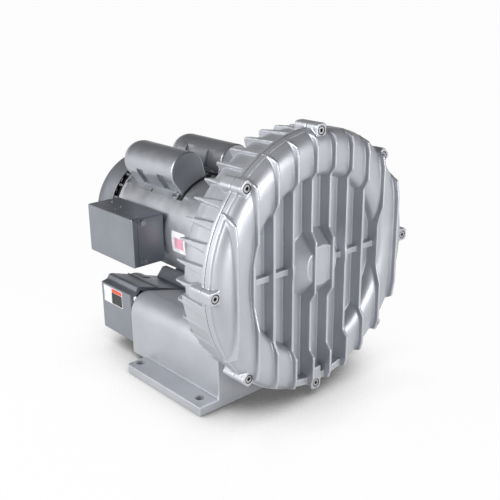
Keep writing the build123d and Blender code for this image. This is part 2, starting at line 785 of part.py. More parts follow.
def wave_spring():
    start = REAR_BEARING_START + REAR_BEARING_W
    return on_shaft(tube(REAR_BEARING_R - 1, REAR_BEARING_R - 5, start, start + SPRING_T))


# Motor

def front_end_bell():
    """Cast adapter between the housing and the motor shell, with the front bearing's seat."""
    hub_r = FRONT_BEARING_R + BEARING_WALL
    bearing_end = FRONT_BEARING_START + FRONT_BEARING_W
    body = turned(
        (hub_r, REAR_FACE),
        (BELL_FLANGE_R, REAR_FACE),
        (BELL_FLANGE_R, REAR_FACE + BELL_FLANGE_T, 2),
        (SHELL_R + 2, REAR_FACE + BELL_FLANGE_T),
        (SHELL_R, SHELL_START, 2),
        (SHELL_BORE_R - SLIP, SHELL_START),
        (SHELL_BORE_R - SLIP, SHELL_START + SPIGOT_L),
        (SHELL_BORE_R - 5, SHELL_START + SPIGOT_L),
        (SHELL_BORE_R - 9, REAR_FACE + BELL_FLANGE_T, 6),
        (hub_r, REAR_FACE + BELL_FLANGE_T),
    )
    body += tube(hub_r, JOURNAL_R + 3, REAR_FACE, bearing_end + 4)
    body -= rod(FRONT_BEARING_R, FRONT_BEARING_START, bearing_end + 4)
    body -= rod(SEAL_R, REAR_FACE, FRONT_BEARING_START - 4)
    tap = Pos(TIE_BOLT_CIRCLE_R, 0, 0) * rod(TIE_BOLT_R + SLIP, REAR_FACE + 2, SHELL_START + SPIGOT_L)
    boss = Pos(TIE_BOLT_CIRCLE_R, 0, 0) * rod(TIE_BOLT_R + 4, REAR_FACE, SHELL_START + SPIGOT_L)
    boss &= rod(SHELL_BORE_R - SLIP, REAR_FACE, SHELL_START + SPIGOT_L)
    hole = Pos(BELL_BOLT_R, 0, 0) * rod(BOLT_R + SLIP * 5, REAR_FACE, REAR_FACE + BELL_FLANGE_T)
    body += around(boss, TIE_BOLT_COUNT, TIE_BOLT_FIRST)
    body -= around(tap, TIE_BOLT_COUNT, TIE_BOLT_FIRST)
    return on_shaft(body - around(hole, BELL_BOLT_COUNT, BELL_BOLT_FIRST))


def bell_bolts():
    start = CHAMBER_DEPTH + 4
    seat = REAR_FACE + BELL_FLANGE_T
    screw = rod(BOLT_R, start, seat) + rod(BOLT_HEAD_R, seat, seat + BOLT_HEAD_H)
    screw -= along_y(RegularPolygon(SOCKET_R, 6), seat + SOCKET_DEPTH, seat + BOLT_HEAD_H)
    screw = Pos(BELL_BOLT_R, 0, 0) * screw
    return on_shaft(group(around(screw, BELL_BOLT_COUNT, BELL_BOLT_FIRST)))


def motor_shell():
    """Rolled steel tube with the lead hole to the conduit box and the cover screw holes."""
    shell = tube(SHELL_R, SHELL_BORE_R, SHELL_START, SHELL_END)
    shell -= [turn(hole, angle) for angle in CAN_ANGLES for hole in can_screw_holes()]
    return on_shaft(shell - along_x(LEAD_HOLE_R, CONDUIT_BACK_X, 0))


def stator_slots(width, inner_r, outer_r, start, end):
    bar = block(inner_r, outer_r, start, end, -width / 2, width / 2)
    return around(bar, SLOT_COUNT, 180 / SLOT_COUNT)


def stator_core():
    """Laminated core with slots for the windings and notches for the tie bolts."""
    core = tube(SHELL_BORE_R - SLIP, STATOR_BORE_R, STATOR_START, STATOR_END)
    notch = Pos(TIE_BOLT_CIRCLE_R, 0, 0) * rod(TIE_NOTCH_R, STATOR_START, STATOR_END)
    notch += block(TIE_BOLT_CIRCLE_R, SHELL_R, STATOR_START, STATOR_END, -TIE_NOTCH_R, TIE_NOTCH_R)
    core -= around(notch, TIE_BOLT_COUNT, TIE_BOLT_FIRST)
    return on_shaft(core - stator_slots(SLOT_W, STATOR_BORE_R + 2.5, SLOT_R, STATOR_START, STATOR_END))


def stator_windings():
    """Copper bars in the slots, joined by a bundle of end turns at each end."""
    inner = STATOR_BORE_R + 2.5 + WINDING_GAP
    outer = SLOT_R - WINDING_GAP
    width = SLOT_W - 2 * WINDING_GAP
    bars = stator_slots(width, inner, outer, STATOR_START - 2, STATOR_END + 2)
    bundles = [turned((inner, start, 4), (outer, start, 4), (outer, start + END_TURN_L, 4),
                      (inner, start + END_TURN_L, 4))
               for start in (STATOR_START - 1 - END_TURN_L, STATOR_END + 1)]
    return on_shaft(bundles[0] + bundles[1:] + bars)


def rotor_core():
    return on_shaft(tube(ROTOR_R, BODY_R + SLIP, STATOR_START, STATOR_END))


def rotor_end_rings():
    """Cast aluminium rings of the squirrel cage, one solid at each end of the core."""
    inner = BODY_R + 8
    rings = [tube(ROTOR_R - 2, inner, start, start + END_RING_L)
             for start in (STATOR_START - END_RING_L, STATOR_END)]
    return on_shaft(group(rings))


def centrifugal_switch():
    """Speed governor on the shaft: a collar, two flyweights and a sliding disc."""
    end = SWITCH_START + SWITCH_COLLAR_W
    collar = tube(SWITCH_COLLAR_R - 5, BODY_R + SLIP, SWITCH_START, end)
    collar += tube(SWITCH_COLLAR_R + 6, BODY_R + SLIP, end - 2.5, end)
    weight = block(SWITCH_COLLAR_R - 7, SWITCH_COLLAR_R + 5, SWITCH_START, end - 2.5, -9, 9)
    return on_shaft(collar + around(weight, 2))


def switch_plate():
    """Fixed contact plate that faces the governor, on two legs from the rear bell."""
    start = SWITCH_START + SWITCH_COLLAR_W + 4
    plate = tube(SWITCH_PLATE_R, BODY_R + 5, start, start + SWITCH_PLATE_T)
    leg = Pos(SWITCH_PLATE_R - 5, 0, 0) * rod(4, start, SHELL_END - SPIGOT_L)
    return on_shaft(plate + around(leg, 2, 45))


def rear_end_bell():
    """Cast end bell with the rear bearing's seat, air holes and lugs for the tie bolts."""
    front = SHELL_END - SPIGOT_L
    body = tube(SHELL_R, SHELL_BORE_R - 6, SHELL_END, REAR_BELL_END)
    body += tube(SHELL_BORE_R - SLIP, SHELL_BORE_R - 6, front, SHELL_END)
    body += tube(SHELL_BORE_R - 4, FAN_SEAT_R + 4, front, SHELL_END)
    body += tube(REAR_BELL_HUB_R, FAN_SEAT_R + 4, REAR_BEARING_START, front)
    body -= rod(REAR_BEARING_R, REAR_BEARING_START, REAR_BEARING_START + REAR_BEARING_W + SPRING_T)
    boss = Pos(TIE_BOLT_CIRCLE_R, 0, 0) * rod(TIE_BOLT_R + 4, front, REAR_BELL_END)
    boss &= rod(SHELL_BORE_R - SLIP, front, REAR_BELL_END)
    air = block(REAR_BELL_HUB_R + AIR_HOLE_MARGIN, SHELL_BORE_R - 2 * AIR_HOLE_MARGIN,
                front, SHELL_END, -AIR_HOLE_W / 2, AIR_HOLE_W / 2)
    hole = Pos(TIE_BOLT_CIRCLE_R, 0, 0) * rod(TIE_BOLT_R + SLIP * 5, front, REAR_BELL_END)
    body -= around(air, TIE_BOLT_COUNT)
    body += around(boss, TIE_BOLT_COUNT, TIE_BOLT_FIRST)
    return on_shaft(body - around(hole, TIE_BOLT_COUNT, TIE_BOLT_FIRST))


def tie_bolts():
    """Long bolts that clamp shell and bells together, heads at the rear."""
    bolt = rod(TIE_BOLT_R, REAR_FACE + 4, REAR_BELL_END)
    head = RegularPolygon(TIE_HEAD_FLATS / 2, 6, major_radius=False)
    bolt += along_y(head, REAR_BELL_END, REAR_BELL_END + TIE_HEAD_H)
    bolt = Pos(TIE_BOLT_CIRCLE_R, 0, 0) * bolt
    return on_shaft(group(around(bolt, TIE_BOLT_COUNT, TIE_BOLT_FIRST)))


def cooling_fan():
    """Straight-bladed fan, so that it cools in either direction."""
    fan = tube(FAN_HUB_R, FAN_SEAT_R + SLIP, FAN_START, FAN_START + FAN_W)
    fan += tube(FAN_R, FAN_SEAT_R + SLIP, FAN_START, FAN_START + FAN_PLATE_T)
    blade = block(FAN_HUB_R - 2, FAN_R, FAN_START, FAN_START + FAN_W, -FAN_BLADE_T / 2, FAN_BLADE_T / 2)
    return on_shaft(fan + around(blade, FAN_BLADES))


def fan_cowl():
    """Flared sheet cowl with a slotted back, held off the bell by a ring of posts."""
    body = turned(
        (COWL_FRONT_R, COWL_START),
        (COWL_R, COWL_FLARE_END, COWL_FLARE_R),
        (COWL_R, COWL_REAR, COWL_CORNER_R),
        (0, COWL_REAR),
        (0, COWL_REAR - COWL_T),
        (COWL_R - COWL_T, COWL_REAR - COWL_T, COWL_CORNER_R - COWL_T),
        (COWL_R - COWL_T, COWL_FLARE_END, COWL_FLARE_R),
        (COWL_FRONT_R - COWL_T, COWL_START),
    )
    post_r = (SHELL_R + SHELL_BORE_R) / 2
    post = block(post_r - 2, post_r + 2, REAR_BELL_END, COWL_START + 4, -POST_W / 2, POST_W / 2)
    slot = block(GRILLE_INNER_R, GRILLE_OUTER_R, COWL_REAR - COWL_T, COWL_REAR,
                 -GRILLE_SLOT_W / 2, GRILLE_SLOT_W / 2)
    body += around(post, POST_COUNT, 180 / POST_COUNT)
    return on_shaft(body - around(slot, GRILLE_SLOTS, 180 / GRILLE_SLOTS))


# Conduit box

def box_bar(inset, start, end):
    """Bar along X with the outline of the conduit box, drawn in by an inset."""
    front = CONDUIT_START + inset
    rear = CONDUIT_END - inset
    low = CONDUIT_LOW + inset
    high = CONDUIT_HIGH - inset
    bend = BEND_R - inset
    face = outline((front, low, bend), (rear, low, bend), (rear, high, bend), (front, high, bend))
    return Pos(start, 0, 0) * extrude(Plane.YZ * face, end - start)


def conduit_box():
    """Folded sheet box, open towards the lid, flat against the saddle pad."""
    box = box_bar(0, CONDUIT_SPLIT_X, CONDUIT_BACK_X)
    box -= box_bar(SHEET_T, CONDUIT_SPLIT_X, CONDUIT_BACK_X - SHEET_T)
    lead = along_x(LEAD_HOLE_R, CONDUIT_BACK_X - 2 * SHEET_T, CONDUIT_BACK_X)
    knockout_x = (CONDUIT_SPLIT_X + CONDUIT_BACK_X) / 2
    knockout = Pos(knockout_x, conduit_middle(), CONDUIT_LOW) * Cylinder(KNOCKOUT_R, SHEET_T / 2)
    holes = [Pos(x, y, z) * Rot(90, 0, 0) * Cylinder(SMALL_SCREW_R + SLIP, 3 * SHEET_T)
             for x, y, z in lid_screw_places()]
    return on_shaft(box - lead - knockout - holes)


def lid_screw_places():
    """Where the lid's screws pass the front and rear sides of the box."""
    x = CONDUIT_SPLIT_X + TAB_L / 2
    heights = (CONDUIT_LOW + TAB_EDGE, CONDUIT_HIGH - TAB_EDGE)
    return [(x, y, z) for y in (CONDUIT_START, CONDUIT_END) for z in heights]


def conduit_lid():
    """Shallow pan with tabs that reach inside the box for its screws."""
    lid = box_bar(0, CONDUIT_FACE_X, CONDUIT_SPLIT_X)
    lid = fillet(lid.faces().sort_by(Axis.X)[0].edges(), LID_EDGE_R)
    lid -= box_bar(SHEET_T, CONDUIT_FACE_X + SHEET_T, CONDUIT_SPLIT_X)
    inset = SHEET_T + TAB_GAP
    for x, y, z in lid_screw_places():
        start = y + inset if y == CONDUIT_START else y - inset - TAB_T
        tab = block(CONDUIT_FACE_X + SHEET_T / 2, CONDUIT_SPLIT_X + TAB_L, start, start + TAB_T,
                    z - TAB_W / 2, z + TAB_W / 2)
        hole = Pos(x, y, z) * Rot(90, 0, 0) * Cylinder(SMALL_SCREW_R + SLIP, 6 * SHEET_T)
        lid = lid + tab - hole
    return on_shaft(lid)


def lid_screws():
    screws = []
    for x, y, z in lid_screw_places():
        outward = -1 if y == CONDUIT_START else 1
        shank = Cylinder(SMALL_SCREW_R, SMALL_SCREW_L, align=(Align.CENTER, Align.CENTER, Align.MAX))
        head = Cylinder(SMALL_HEAD_R, SMALL_HEAD_H, align=(Align.CENTER, Align.CENTER, Align.MIN))
        screw = head + shank
        screws.append(Pos(x, y, z) * Rot(-90 * outward, 0, 0) * screw)
    return on_shaft(group(screws))


def conduit_middle():
    return (CONDUIT_START + CONDUIT_END) / 2


def along_x(radius, start, end):
    """Round bar through the middle of the conduit box, towards the shaft."""
    return Pos((start + end) / 2, conduit_middle(), 0) * Rot(0, 90, 0) * Cylinder(radius, end - start)


def conduit_pad():
    """Saddle pad between the round shell and the flat back of the box."""
    inset = SHEET_T * 4
    edge = -sqrt(SHELL_R ** 2 - (PAD_H / 2) ** 2)
    pad = block(CONDUIT_BACK_X, edge, CONDUIT_START + inset, CONDUIT_END - inset, -PAD_H / 2, PAD_H / 2)
    pad -= rod(SHELL_R, CONDUIT_START, CONDUIT_END)
    return on_shaft(pad - along_x(LEAD_GROMMET_R, CONDUIT_BACK_X, edge))


def lead_grommet():
    """Ring in the lead hole of shell and box, with a flange inside the box."""
    inside = CONDUIT_BACK_X - SHEET_T
    grommet = along_x(LEAD_HOLE_R - SLIP, inside - GROMMET_FLANGE_T, SHELL_T - SHELL_R + GROMMET_FLANGE_T)
    grommet += along_x(LEAD_GROMMET_R, inside - GROMMET_FLANGE_T, inside)
    return on_shaft(grommet - along_x(LEAD_HOLE_R - GROMMET_WALL, CONDUIT_FACE_X, 0))


# Capacitors and their covers, drawn at +X and turned into place

def can_section(inset):
    """D-shaped section of a capacitor cover across the motor, in X (outwards) and Z."""
    half = CAN_R - inset
    foot = CAN_FOOT_HALF_W - inset
    crown = ThreePointArc((CAN_CENTRE_R, -half), (CAN_CENTRE_R + half, 0), (CAN_CENTRE_R, half))
    skirt = Polyline((CAN_CENTRE_R, half), (CAN_FOOT_R, foot), (CAN_FOOT_R, -foot), (CAN_CENTRE_R, -half))
    return make_face([crown, *skirt.edges()])


def can_body(inset):
    """Cover shape: a D-shaped barrel with a flat front and a domed rear."""
    barrel = along_y(can_section(inset), CAN_START + inset, CAN_DOME_START)
    front = barrel.faces().sort_by(Axis.Y)[0]
    rim = [edge for edge in front.edges() if edge.center().X > CAN_FOOT_R + 1]
    barrel = fillet(rim, CAN_EDGE_R - inset)
    dome = Pos(CAN_CENTRE_R, CAN_DOME_START, 0) * Sphere(CAN_R - inset)
    heel = Pos(CAN_CENTRE_R, CAN_DOME_START, 0) * Rot(0, -90, 0) * Cone(
        CAN_R - inset, CAN_FOOT_HALF_W - inset, CAN_CENTRE_R - CAN_FOOT_R,
        align=(Align.CENTER, Align.CENTER, Align.MIN))
    return barrel + dome + heel


def can_recesses(inset):
    """Wedge-shaped pressings in both sides of a cover, deepest at the ledge near the foot."""
    low = SHELL_R + CAN_RECESS_LOW
    high = SHELL_R + CAN_RECESS_HIGH
    skirt = CAN_FOOT_HALF_W + (CAN_R - CAN_FOOT_HALF_W) * (low - CAN_FOOT_R) / (CAN_CENTRE_R - CAN_FOOT_R)
    wedge = outline((high, CAN_R - inset), (low - inset, skirt - CAN_RECESS_DEPTH - inset),
                    (low - inset, 2 * CAN_R), (high, 2 * CAN_R))
    middle = (CAN_START + CAN_DOME_START) / 2
    places = [middle + side * CAN_RECESS_PITCH / 2 for side in (-1, 1)]
    half = CAN_RECESS_W / 2 + inset
    wedges = [along_y(wedge, y - half, y + half) for y in places]
    return wedges + [mirror(wedge, Plane.XY) for wedge in wedges]


def fan_shaped(radius, half_angle, start, end):
    """Wedge from the shaft line that spreads evenly either side of +X."""
    x = radius * cos(radians(half_angle))
    z = radius * sin(radians(half_angle))
    return along_y(outline((0, 0), (x, -z), (x, z)), start, end)


def can_cover(angle):
    hollow = can_body(CAN_T) - can_recesses(CAN_T)
    can = can_body(0) - can_recesses(0) - hollow
    can -= rod(CAN_SEAT_R, CAN_START - 1, SHELL_END)
    can -= turned((0, SHELL_END), (CAN_SEAT_R, SHELL_END), (COWL_R + 3, SHELL_END + SLOT_RING_L),
                  (COWL_R + 3, COWL_REAR), (0, COWL_REAR))
    middle = (CAN_START + CAN_FLANGE_END) / 2
    flange = tube(CAN_SEAT_R + CAN_T, CAN_SEAT_R, CAN_START + 6, CAN_FLANGE_END)
    flange &= fan_shaped(2 * SHELL_R, CAN_FLANGE_ANGLE, CAN_START, CAN_FLANGE_END)
    notch = block(0, 2 * SHELL_R, middle - 1.5, middle + 1.5, CAN_R, 2 * CAN_R)
    flange -= [notch, mirror(notch, Plane.XY)]
    can += flange - can_body(CAN_T / 2)
    return on_shaft(turn(can - can_screw_holes(), angle))


def spoke(radius, start, end):
    """Round bar that stands on the shaft line at +X, between two distances from it."""
    return Pos((start + end) / 2, 0, 0) * Rot(0, 90, 0) * Cylinder(radius, end - start)


def at_can_screws(shape):
    """Copies of a shape at the four screw places of one capacitor cover."""
    return [turn(Pos(0, y, 0) * shape, side * CAN_SCREW_ANGLE)
            for y in (CAN_START + CAN_FRONT_SCREW, CAN_FLANGE_END - CAN_REAR_SCREW)
            for side in (-1, 1)]


def can_screw_holes():
    return at_can_screws(spoke(SMALL_SCREW_R + SLIP, SHELL_BORE_R - SHELL_T, CAN_SEAT_R + CAN_EDGE_R))


def can_screws():
    """Screws in the flanges of both capacitor covers."""
    seat = CAN_SEAT_R + CAN_T
    screw = spoke(SMALL_SCREW_R, SHELL_BORE_R + SLIP, seat) + spoke(CAN_HEAD_R, seat, seat + SMALL_HEAD_H)
    return on_shaft(group([turn(copy, angle) for angle in CAN_ANGLES for copy in at_can_screws(screw)]))


def can_pad(angle):
    """Gasket under a capacitor cover, curved to the shell."""
    pad = tube(CAN_SEAT_R, SHELL_R, CAN_START - 2, CAN_FLANGE_END)
    pad &= fan_shaped(2 * SHELL_R, CAN_FLANGE_ANGLE - 0.5, CAN_START - 2, CAN_FLANGE_END)
    pad -= along_y(can_section(CAN_T * 3), CAN_START + CAN_PAD_LIP, CAN_FLANGE_END - 2 * CAN_PAD_LIP)
    return on_shaft(turn(pad - can_screw_holes(), angle))


def capacitor(angle):
    """Round capacitor, lying in its cover on the gasket side of the shell."""
    centre = SHELL_R + CAPACITOR_R + 0.3
    body = Pos(centre, 0, 0) * rod(CAPACITOR_R, CAPACITOR_START, CAPACITOR_START + CAPACITOR_L)
    terminal = block(centre - 3, centre + 3, CAPACITOR_START + CAPACITOR_L,
                     CAPACITOR_START + CAPACITOR_L + 9, -0.5, 0.5)
    body += [Pos(0, 0, side * 8) * terminal for side in (-1, 1)]
    return on_shaft(turn(body, angle))


FRONT_BEARING = (JOURNAL_R, FRONT_BEARING_R, FRONT_BEARING_W, FRONT_BEARING_START)
REAR_BEARING = (REAR_JOURNAL_R, REAR_BEARING_R, REAR_BEARING_W, REAR_BEARING_START)

PARTS = {
    "cover": cover,
    "cover_bolts": cover_bolts,
    "cover_washers": cover_washers,
    "housing": housing,
    "extension_gasket": extension_gasket,
    "silencer_extension": silencer_extension,
    "extension_screws": extension_screws,
    "silencer_foam": silencer_foam,
    "impeller": impeller,
    "shaft_key": shaft_key,
    "shim_spacers": shim_spacers,
    "nut_washer": nut_washer,
    "impeller_nut": impeller_nut,
    "motor_shaft": motor_shaft,
    "retaining_ring": retaining_ring,
    "shaft_seal": shaft_seal,
    "front_bearing_inner_race": lambda: bearing_inner(*FRONT_BEARING),
    "front_bearing_outer_race": lambda: bearing_outer(*FRONT_BEARING),
    "front_bearing_balls": lambda: bearing_balls(*FRONT_BEARING),
    "rear_bearing_inner_race": lambda: bearing_inner(*REAR_BEARING),
    "rear_bearing_outer_race": lambda: bearing_outer(*REAR_BEARING),
    "rear_bearing_balls": lambda: bearing_balls(*REAR_BEARING),
    "wave_spring": wave_spring,
    "front_end_bell": front_end_bell,
    "bell_bolts": bell_bolts,
    "motor_shell": motor_shell,
    "stator_core": stator_core,
    "stator_windings": stator_windings,
    "rotor_core": rotor_core,
    "rotor_end_rings": rotor_end_rings,
    "centrifugal_switch": centrifugal_switch,
    "switch_plate": switch_plate,
    "rear_end_bell": rear_end_bell,
    "tie_bolts": tie_bolts,
    "cooling_fan": cooling_fan,
    "fan_cowl": fan_cowl,
    "conduit_pad": conduit_pad,
    "conduit_box": conduit_box,
    "conduit_lid": conduit_lid,
    "lid_screws": lid_screws,
    "lead_grommet": lead_grommet,
    "left_capacitor_cover": lambda: can_cover(CAN_ANGLES[0]),
    "right_capacitor_cover": lambda: can_cover(CAN_ANGLES[1]),
    "left_cover_gasket": lambda: can_pad(CAN_ANGLES[0]),
    "right_cover_gasket": lambda: can_pad(CAN_ANGLES[1]),
    "start_capacitor": lambda: capacitor(CAN_ANGLES[0]),
    "run_capacitor": lambda: capacitor(CAN_ANGLES[1]),
    "capacitor_cover_screws": can_screws,
}


os.makedirs("parts", exist_ok=True)
for name, make in PARTS.items():
    export_step(make(), f"parts/{name}.step")
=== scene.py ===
import json
import math

import bmesh
import bpy
from mathutils import Matrix, Vector

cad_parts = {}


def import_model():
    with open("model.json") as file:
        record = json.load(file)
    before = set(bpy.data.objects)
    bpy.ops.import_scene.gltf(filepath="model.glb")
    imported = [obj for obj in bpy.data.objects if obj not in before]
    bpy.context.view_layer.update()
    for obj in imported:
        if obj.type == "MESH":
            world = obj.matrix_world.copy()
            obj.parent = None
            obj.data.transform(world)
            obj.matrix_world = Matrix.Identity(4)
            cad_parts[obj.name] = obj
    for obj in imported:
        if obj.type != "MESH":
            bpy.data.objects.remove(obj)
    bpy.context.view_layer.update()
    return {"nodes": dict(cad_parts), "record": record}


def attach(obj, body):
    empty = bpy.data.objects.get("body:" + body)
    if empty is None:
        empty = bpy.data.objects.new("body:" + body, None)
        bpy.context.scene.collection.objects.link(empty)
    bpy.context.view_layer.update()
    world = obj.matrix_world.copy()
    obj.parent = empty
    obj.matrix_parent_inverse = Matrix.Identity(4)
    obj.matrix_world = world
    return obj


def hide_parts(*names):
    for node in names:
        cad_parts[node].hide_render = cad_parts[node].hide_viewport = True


# Side channel blower. Shapes are drawn in millimetres about the shaft line: x to the right,
# s backwards along the shaft from the joint between cover and housing, z up from the shaft.
MM = 0.001
JOINT_Y = -143.7
SHAFT_Z = 205.0

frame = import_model()
NODES = frame["nodes"]
scene = bpy.context.scene


# Mesh helpers

WELD_REACH = 1e-6
EMPTY_AREA = 1e-14


def point(x, s, z):
    return (x * MM, (s + JOINT_Y) * MM, (z + SHAFT_Z) * MM)


def new_object(name, verts, faces):
    mesh = bpy.data.meshes.new(name)
    mesh.from_pydata([point(*v) for v in verts], [], faces)
    work = bmesh.new()
    work.from_mesh(mesh)
    bmesh.ops.recalc_face_normals(work, faces=work.faces)
    work.to_mesh(mesh)
    work.free()
    obj = bpy.data.objects.new(name, mesh)
    scene.collection.objects.link(obj)
    return obj


def rings_mesh(name, rings, close=False):
    """Closed skin over equal rings of points, with flat ends unless the last ring meets the first."""
    count = len(rings[0])
    verts = [v for ring in rings for v in ring]
    faces = []
    pairs = len(rings) if close else len(rings) - 1
    for i in range(pairs):
        a, b = i * count, ((i + 1) % len(rings)) * count
        for j in range(count):
            k = (j + 1) % count
            faces.append((a + j, a + k, b + k, b + j))
    if not close:
        faces.append(tuple(range(count))[::-1])
        faces.append(tuple((len(rings) - 1) * count + j for j in range(count)))
    return new_object(name, verts, faces)


def lathe(name, profile, steps=240):
    """Turns a closed (radius, s) outline about the shaft line."""
    rings = []
    for i in range(steps):
        a = 2 * math.pi * i / steps
        rings.append([(r * math.cos(a), s, r * math.sin(a)) for r, s in profile])
    obj = rings_mesh(name, rings, close=True)
    weld(obj)
    return obj


def weld(obj):
    """Joins points that coincide, as on the shaft line, and removes the empty faces between them."""
    work = bmesh.new()
    work.from_mesh(obj.data)
    bmesh.ops.remove_doubles(work, verts=work.verts, dist=WELD_REACH)
    bmesh.ops.dissolve_degenerate(work, edges=work.edges, dist=WELD_REACH)
    loose = [f for f in work.faces if f.calc_area() < EMPTY_AREA]
    bmesh.ops.delete(work, geom=loose, context="FACES_ONLY")
    bmesh.ops.recalc_face_normals(work, faces=work.faces)
    work.to_mesh(obj.data)
    work.free()


def circle(centre, radius, steps):
    """Points of a full circle as a closed outline."""
    turns = [2 * math.pi * i / steps for i in range(steps)]
    return [(centre[0] + radius * math.cos(a), centre[1] + radius * math.sin(a)) for a in turns]


def prism_y(name, outline, start, end):
    """Carries a closed (x, z) outline along the shaft."""
    return rings_mesh(name, [[(x, s, z) for x, z in outline] for s in (start, end)])


def prism_x(name, outline, x0, x1):
    """Carries a closed (s, z) outline sideways."""
    return rings_mesh(name, [[(x, s, z) for s, z in outline] for x in (x0, x1)])


def prism_z(name, outline, z0, z1):
    """Carries a closed (x, s) outline upwards."""
    return rings_mesh(name, [[(x, s, z) for x, s in outline] for z in (z0, z1)])


def block(name, x0, x1, s0, s1, z0, z1):
    return prism_y(name, [(x0, z0), (x1, z0), (x1, z1), (x0, z1)], s0, s1)


def rounded(corners, steps=8):
    """Outline through (u, v) or (u, v, radius) corners, with the radii drawn as short runs."""
    points = []
    count = len(corners)
    for i, corner in enumerate(corners):
        here = Vector(corner[:2])
        if len(corner) < 3 or corner[2] <= 0:
            points.append(tuple(here))
            continue
        before = (Vector(corners[i - 1][:2]) - here).normalized()
        after = (Vector(corners[(i + 1) % count][:2]) - here).normalized()
        half = before.angle(after) / 2
        reach = corner[2] / math.tan(half)
        centre = here + (before + after).normalized() * (corner[2] / math.sin(half))
        first = here + before * reach - centre
        turn = first.angle_signed(here + after * reach - centre)
        for k in range(steps + 1):
            a = -turn * k / steps
            points.append((centre.x + first.x * math.cos(a) - first.y * math.sin(a),
                           centre.y + first.x * math.sin(a) + first.y * math.cos(a)))
    return points


def arc(centre, radius, start, end, steps):
    """Points of a circular arc, by angles in degrees."""
    return [(centre[0] + radius * math.cos(math.radians(start + (end - start) * k / steps)),
             centre[1] + radius * math.sin(math.radians(start + (end - start) * k / steps)))
            for k in range(steps + 1)]


def shaft_turn(degrees):
    """Turn about the shaft line, from +X towards +Z."""
    to_shaft = Matrix.Translation((0, 0, SHAFT_Z * MM))
    return to_shaft @ Matrix.Rotation(math.radians(-degrees), 4, "Y") @ to_shaft.inverted()


def moved_copy(obj, move):
    copy = obj.copy()
    copy.data = obj.data.copy()
    copy.data.transform(move)
    scene.collection.objects.link(copy)
    return copy


def around(obj, angles):
    """Copies of a piece, one turned to each angle, in place of the piece itself."""
    copies = [moved_copy(obj, shaft_turn(a)) for a in angles]
    bpy.data.objects.remove(obj)
    return copies


def mirrored(obj):
    """A copy on the other side of the middle plane."""
    copy = moved_copy(obj, Matrix.Scale(-1, 4, (1, 0, 0)))
    copy.data.flip_normals()
    return copy


def join(name, parts):
    """Puts pieces into one object, without melting them together."""
    work = bmesh.new()
    for part in parts:
        work.from_mesh(part.data)
        bpy.data.objects.remove(part)
    mesh = bpy.data.meshes.new(name)
    work.to_mesh(mesh)
    work.free()
    obj = bpy.data.objects.new(name, mesh)
    scene.collection.objects.link(obj)
    return obj


def settle(obj):
    """Applies the modifiers of a piece to its mesh."""
    graph = bpy.context.evaluated_depsgraph_get()
    mesh = bpy.data.meshes.new_from_object(obj.evaluated_get(graph))
    obj.modifiers.clear()
    obj.data = mesh


def cut(obj, cutter):
    """Takes one closed piece out of another."""
    step = obj.modifiers.new("cut", "BOOLEAN")
    step.operation = "DIFFERENCE"
    step.solver = "MANIFOLD"
    step.object = cutter
    settle(obj)
    bpy.data.objects.remove(cutter)
    return obj


def cast(name, parts, voxel):
    """Melts closed pieces into one skin with soft inner and outer corners, as a casting has."""
    obj = join(name, parts)
    size = voxel * 1.0
    melt = obj.modifiers.new("melt", "REMESH")
    melt.mode = "VOXEL"
    melt.voxel_size = size * MM
    soften = obj.modifiers.new("soften", "SMOOTH")
    soften.factor = 0.5
    soften.iterations = 2
    settle(obj)
    return obj


def smooth(obj, angle):
    """Smooth shading, with edges kept where faces meet at more than an angle."""
    obj.data.polygons.foreach_set("use_smooth", [True] * len(obj.data.polygons))
    obj.data.update()
    obj.data.set_sharp_from_angle(angle=math.radians(angle))


def stand_for(obj, paint, body, *nodes):
    """Paints a piece and lets it ride on a body, in place of the solids named."""
    obj.data.materials.clear()
    obj.data.materials.append(paint)
    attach(obj, body)
    if nodes:
        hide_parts(*nodes)
    return obj


# Materials

def material(name, colour, metallic=0.0, roughness=0.5):
    made = bpy.data.materials.new(name)
    made.use_nodes = True
    shader = made.node_tree.nodes["Principled BSDF"]
    shader.inputs["Base Color"].default_value = (*colour, 1.0)
    shader.inputs["Metallic"].default_value = metallic
    shader.inputs["Roughness"].default_value = roughness
    return made


def noise(tree, scale, detail, roughness=0.55):
    """Output of a noise fixed to the piece."""
    place = tree.nodes.new("ShaderNodeTexCoord")
    made = tree.nodes.new("ShaderNodeTexNoise")
    made.inputs["Scale"].default_value = scale
    made.inputs["Detail"].default_value = detail
    made.inputs["Roughness"].default_value = roughness
    tree.links.new(place.outputs["Object"], made.inputs["Vector"])
    return made.outputs["Fac"]


def ramp(tree, source, low, high, start=0.3, end=0.7):
    """Output of a colour ramp between two colours."""
    made = tree.nodes.new("ShaderNodeValToRGB")
    made.color_ramp.elements[0].position = start
    made.color_ramp.elements[1].position = end
    made.color_ramp.elements[0].color = (*low, 1.0)
    made.color_ramp.elements[1].color = (*high, 1.0)
    tree.links.new(source, made.inputs["Fac"])
    return made.outputs["Color"]


def scaled(colour, factor):
    return tuple(min(1.0, c * factor) for c in colour)


def add_bump(tree, shader, source, strength, distance, before=None):
    """Bump on a shader's normal, on top of the one before."""
    made = tree.nodes.new("ShaderNodeBump")
    made.inputs["Strength"].default_value = strength
    made.inputs["Distance"].default_value = distance
    tree.links.new(source, made.inputs["Height"])
    if before:
        tree.links.new(before, made.inputs["Normal"])
    tree.links.new(made.outputs["Normal"], shader.inputs["Normal"])
    return made.outputs["Normal"]


GRAIN_DEPTH = 0.0002
DIMPLE_DEPTH = 0.0008
MOULD_DEPTH = 0.0004
# Painted shade for hollows, painted highlight for edges, and how much of them is mixed in.
HOLLOW_SHADE_TONE = (0.72, 0.72, 0.74)
EDGE_HIGHLIGHT_TONE = (1.16, 1.16, 1.15)
SHADE_AND_HIGHLIGHT_SHARE = 0.55


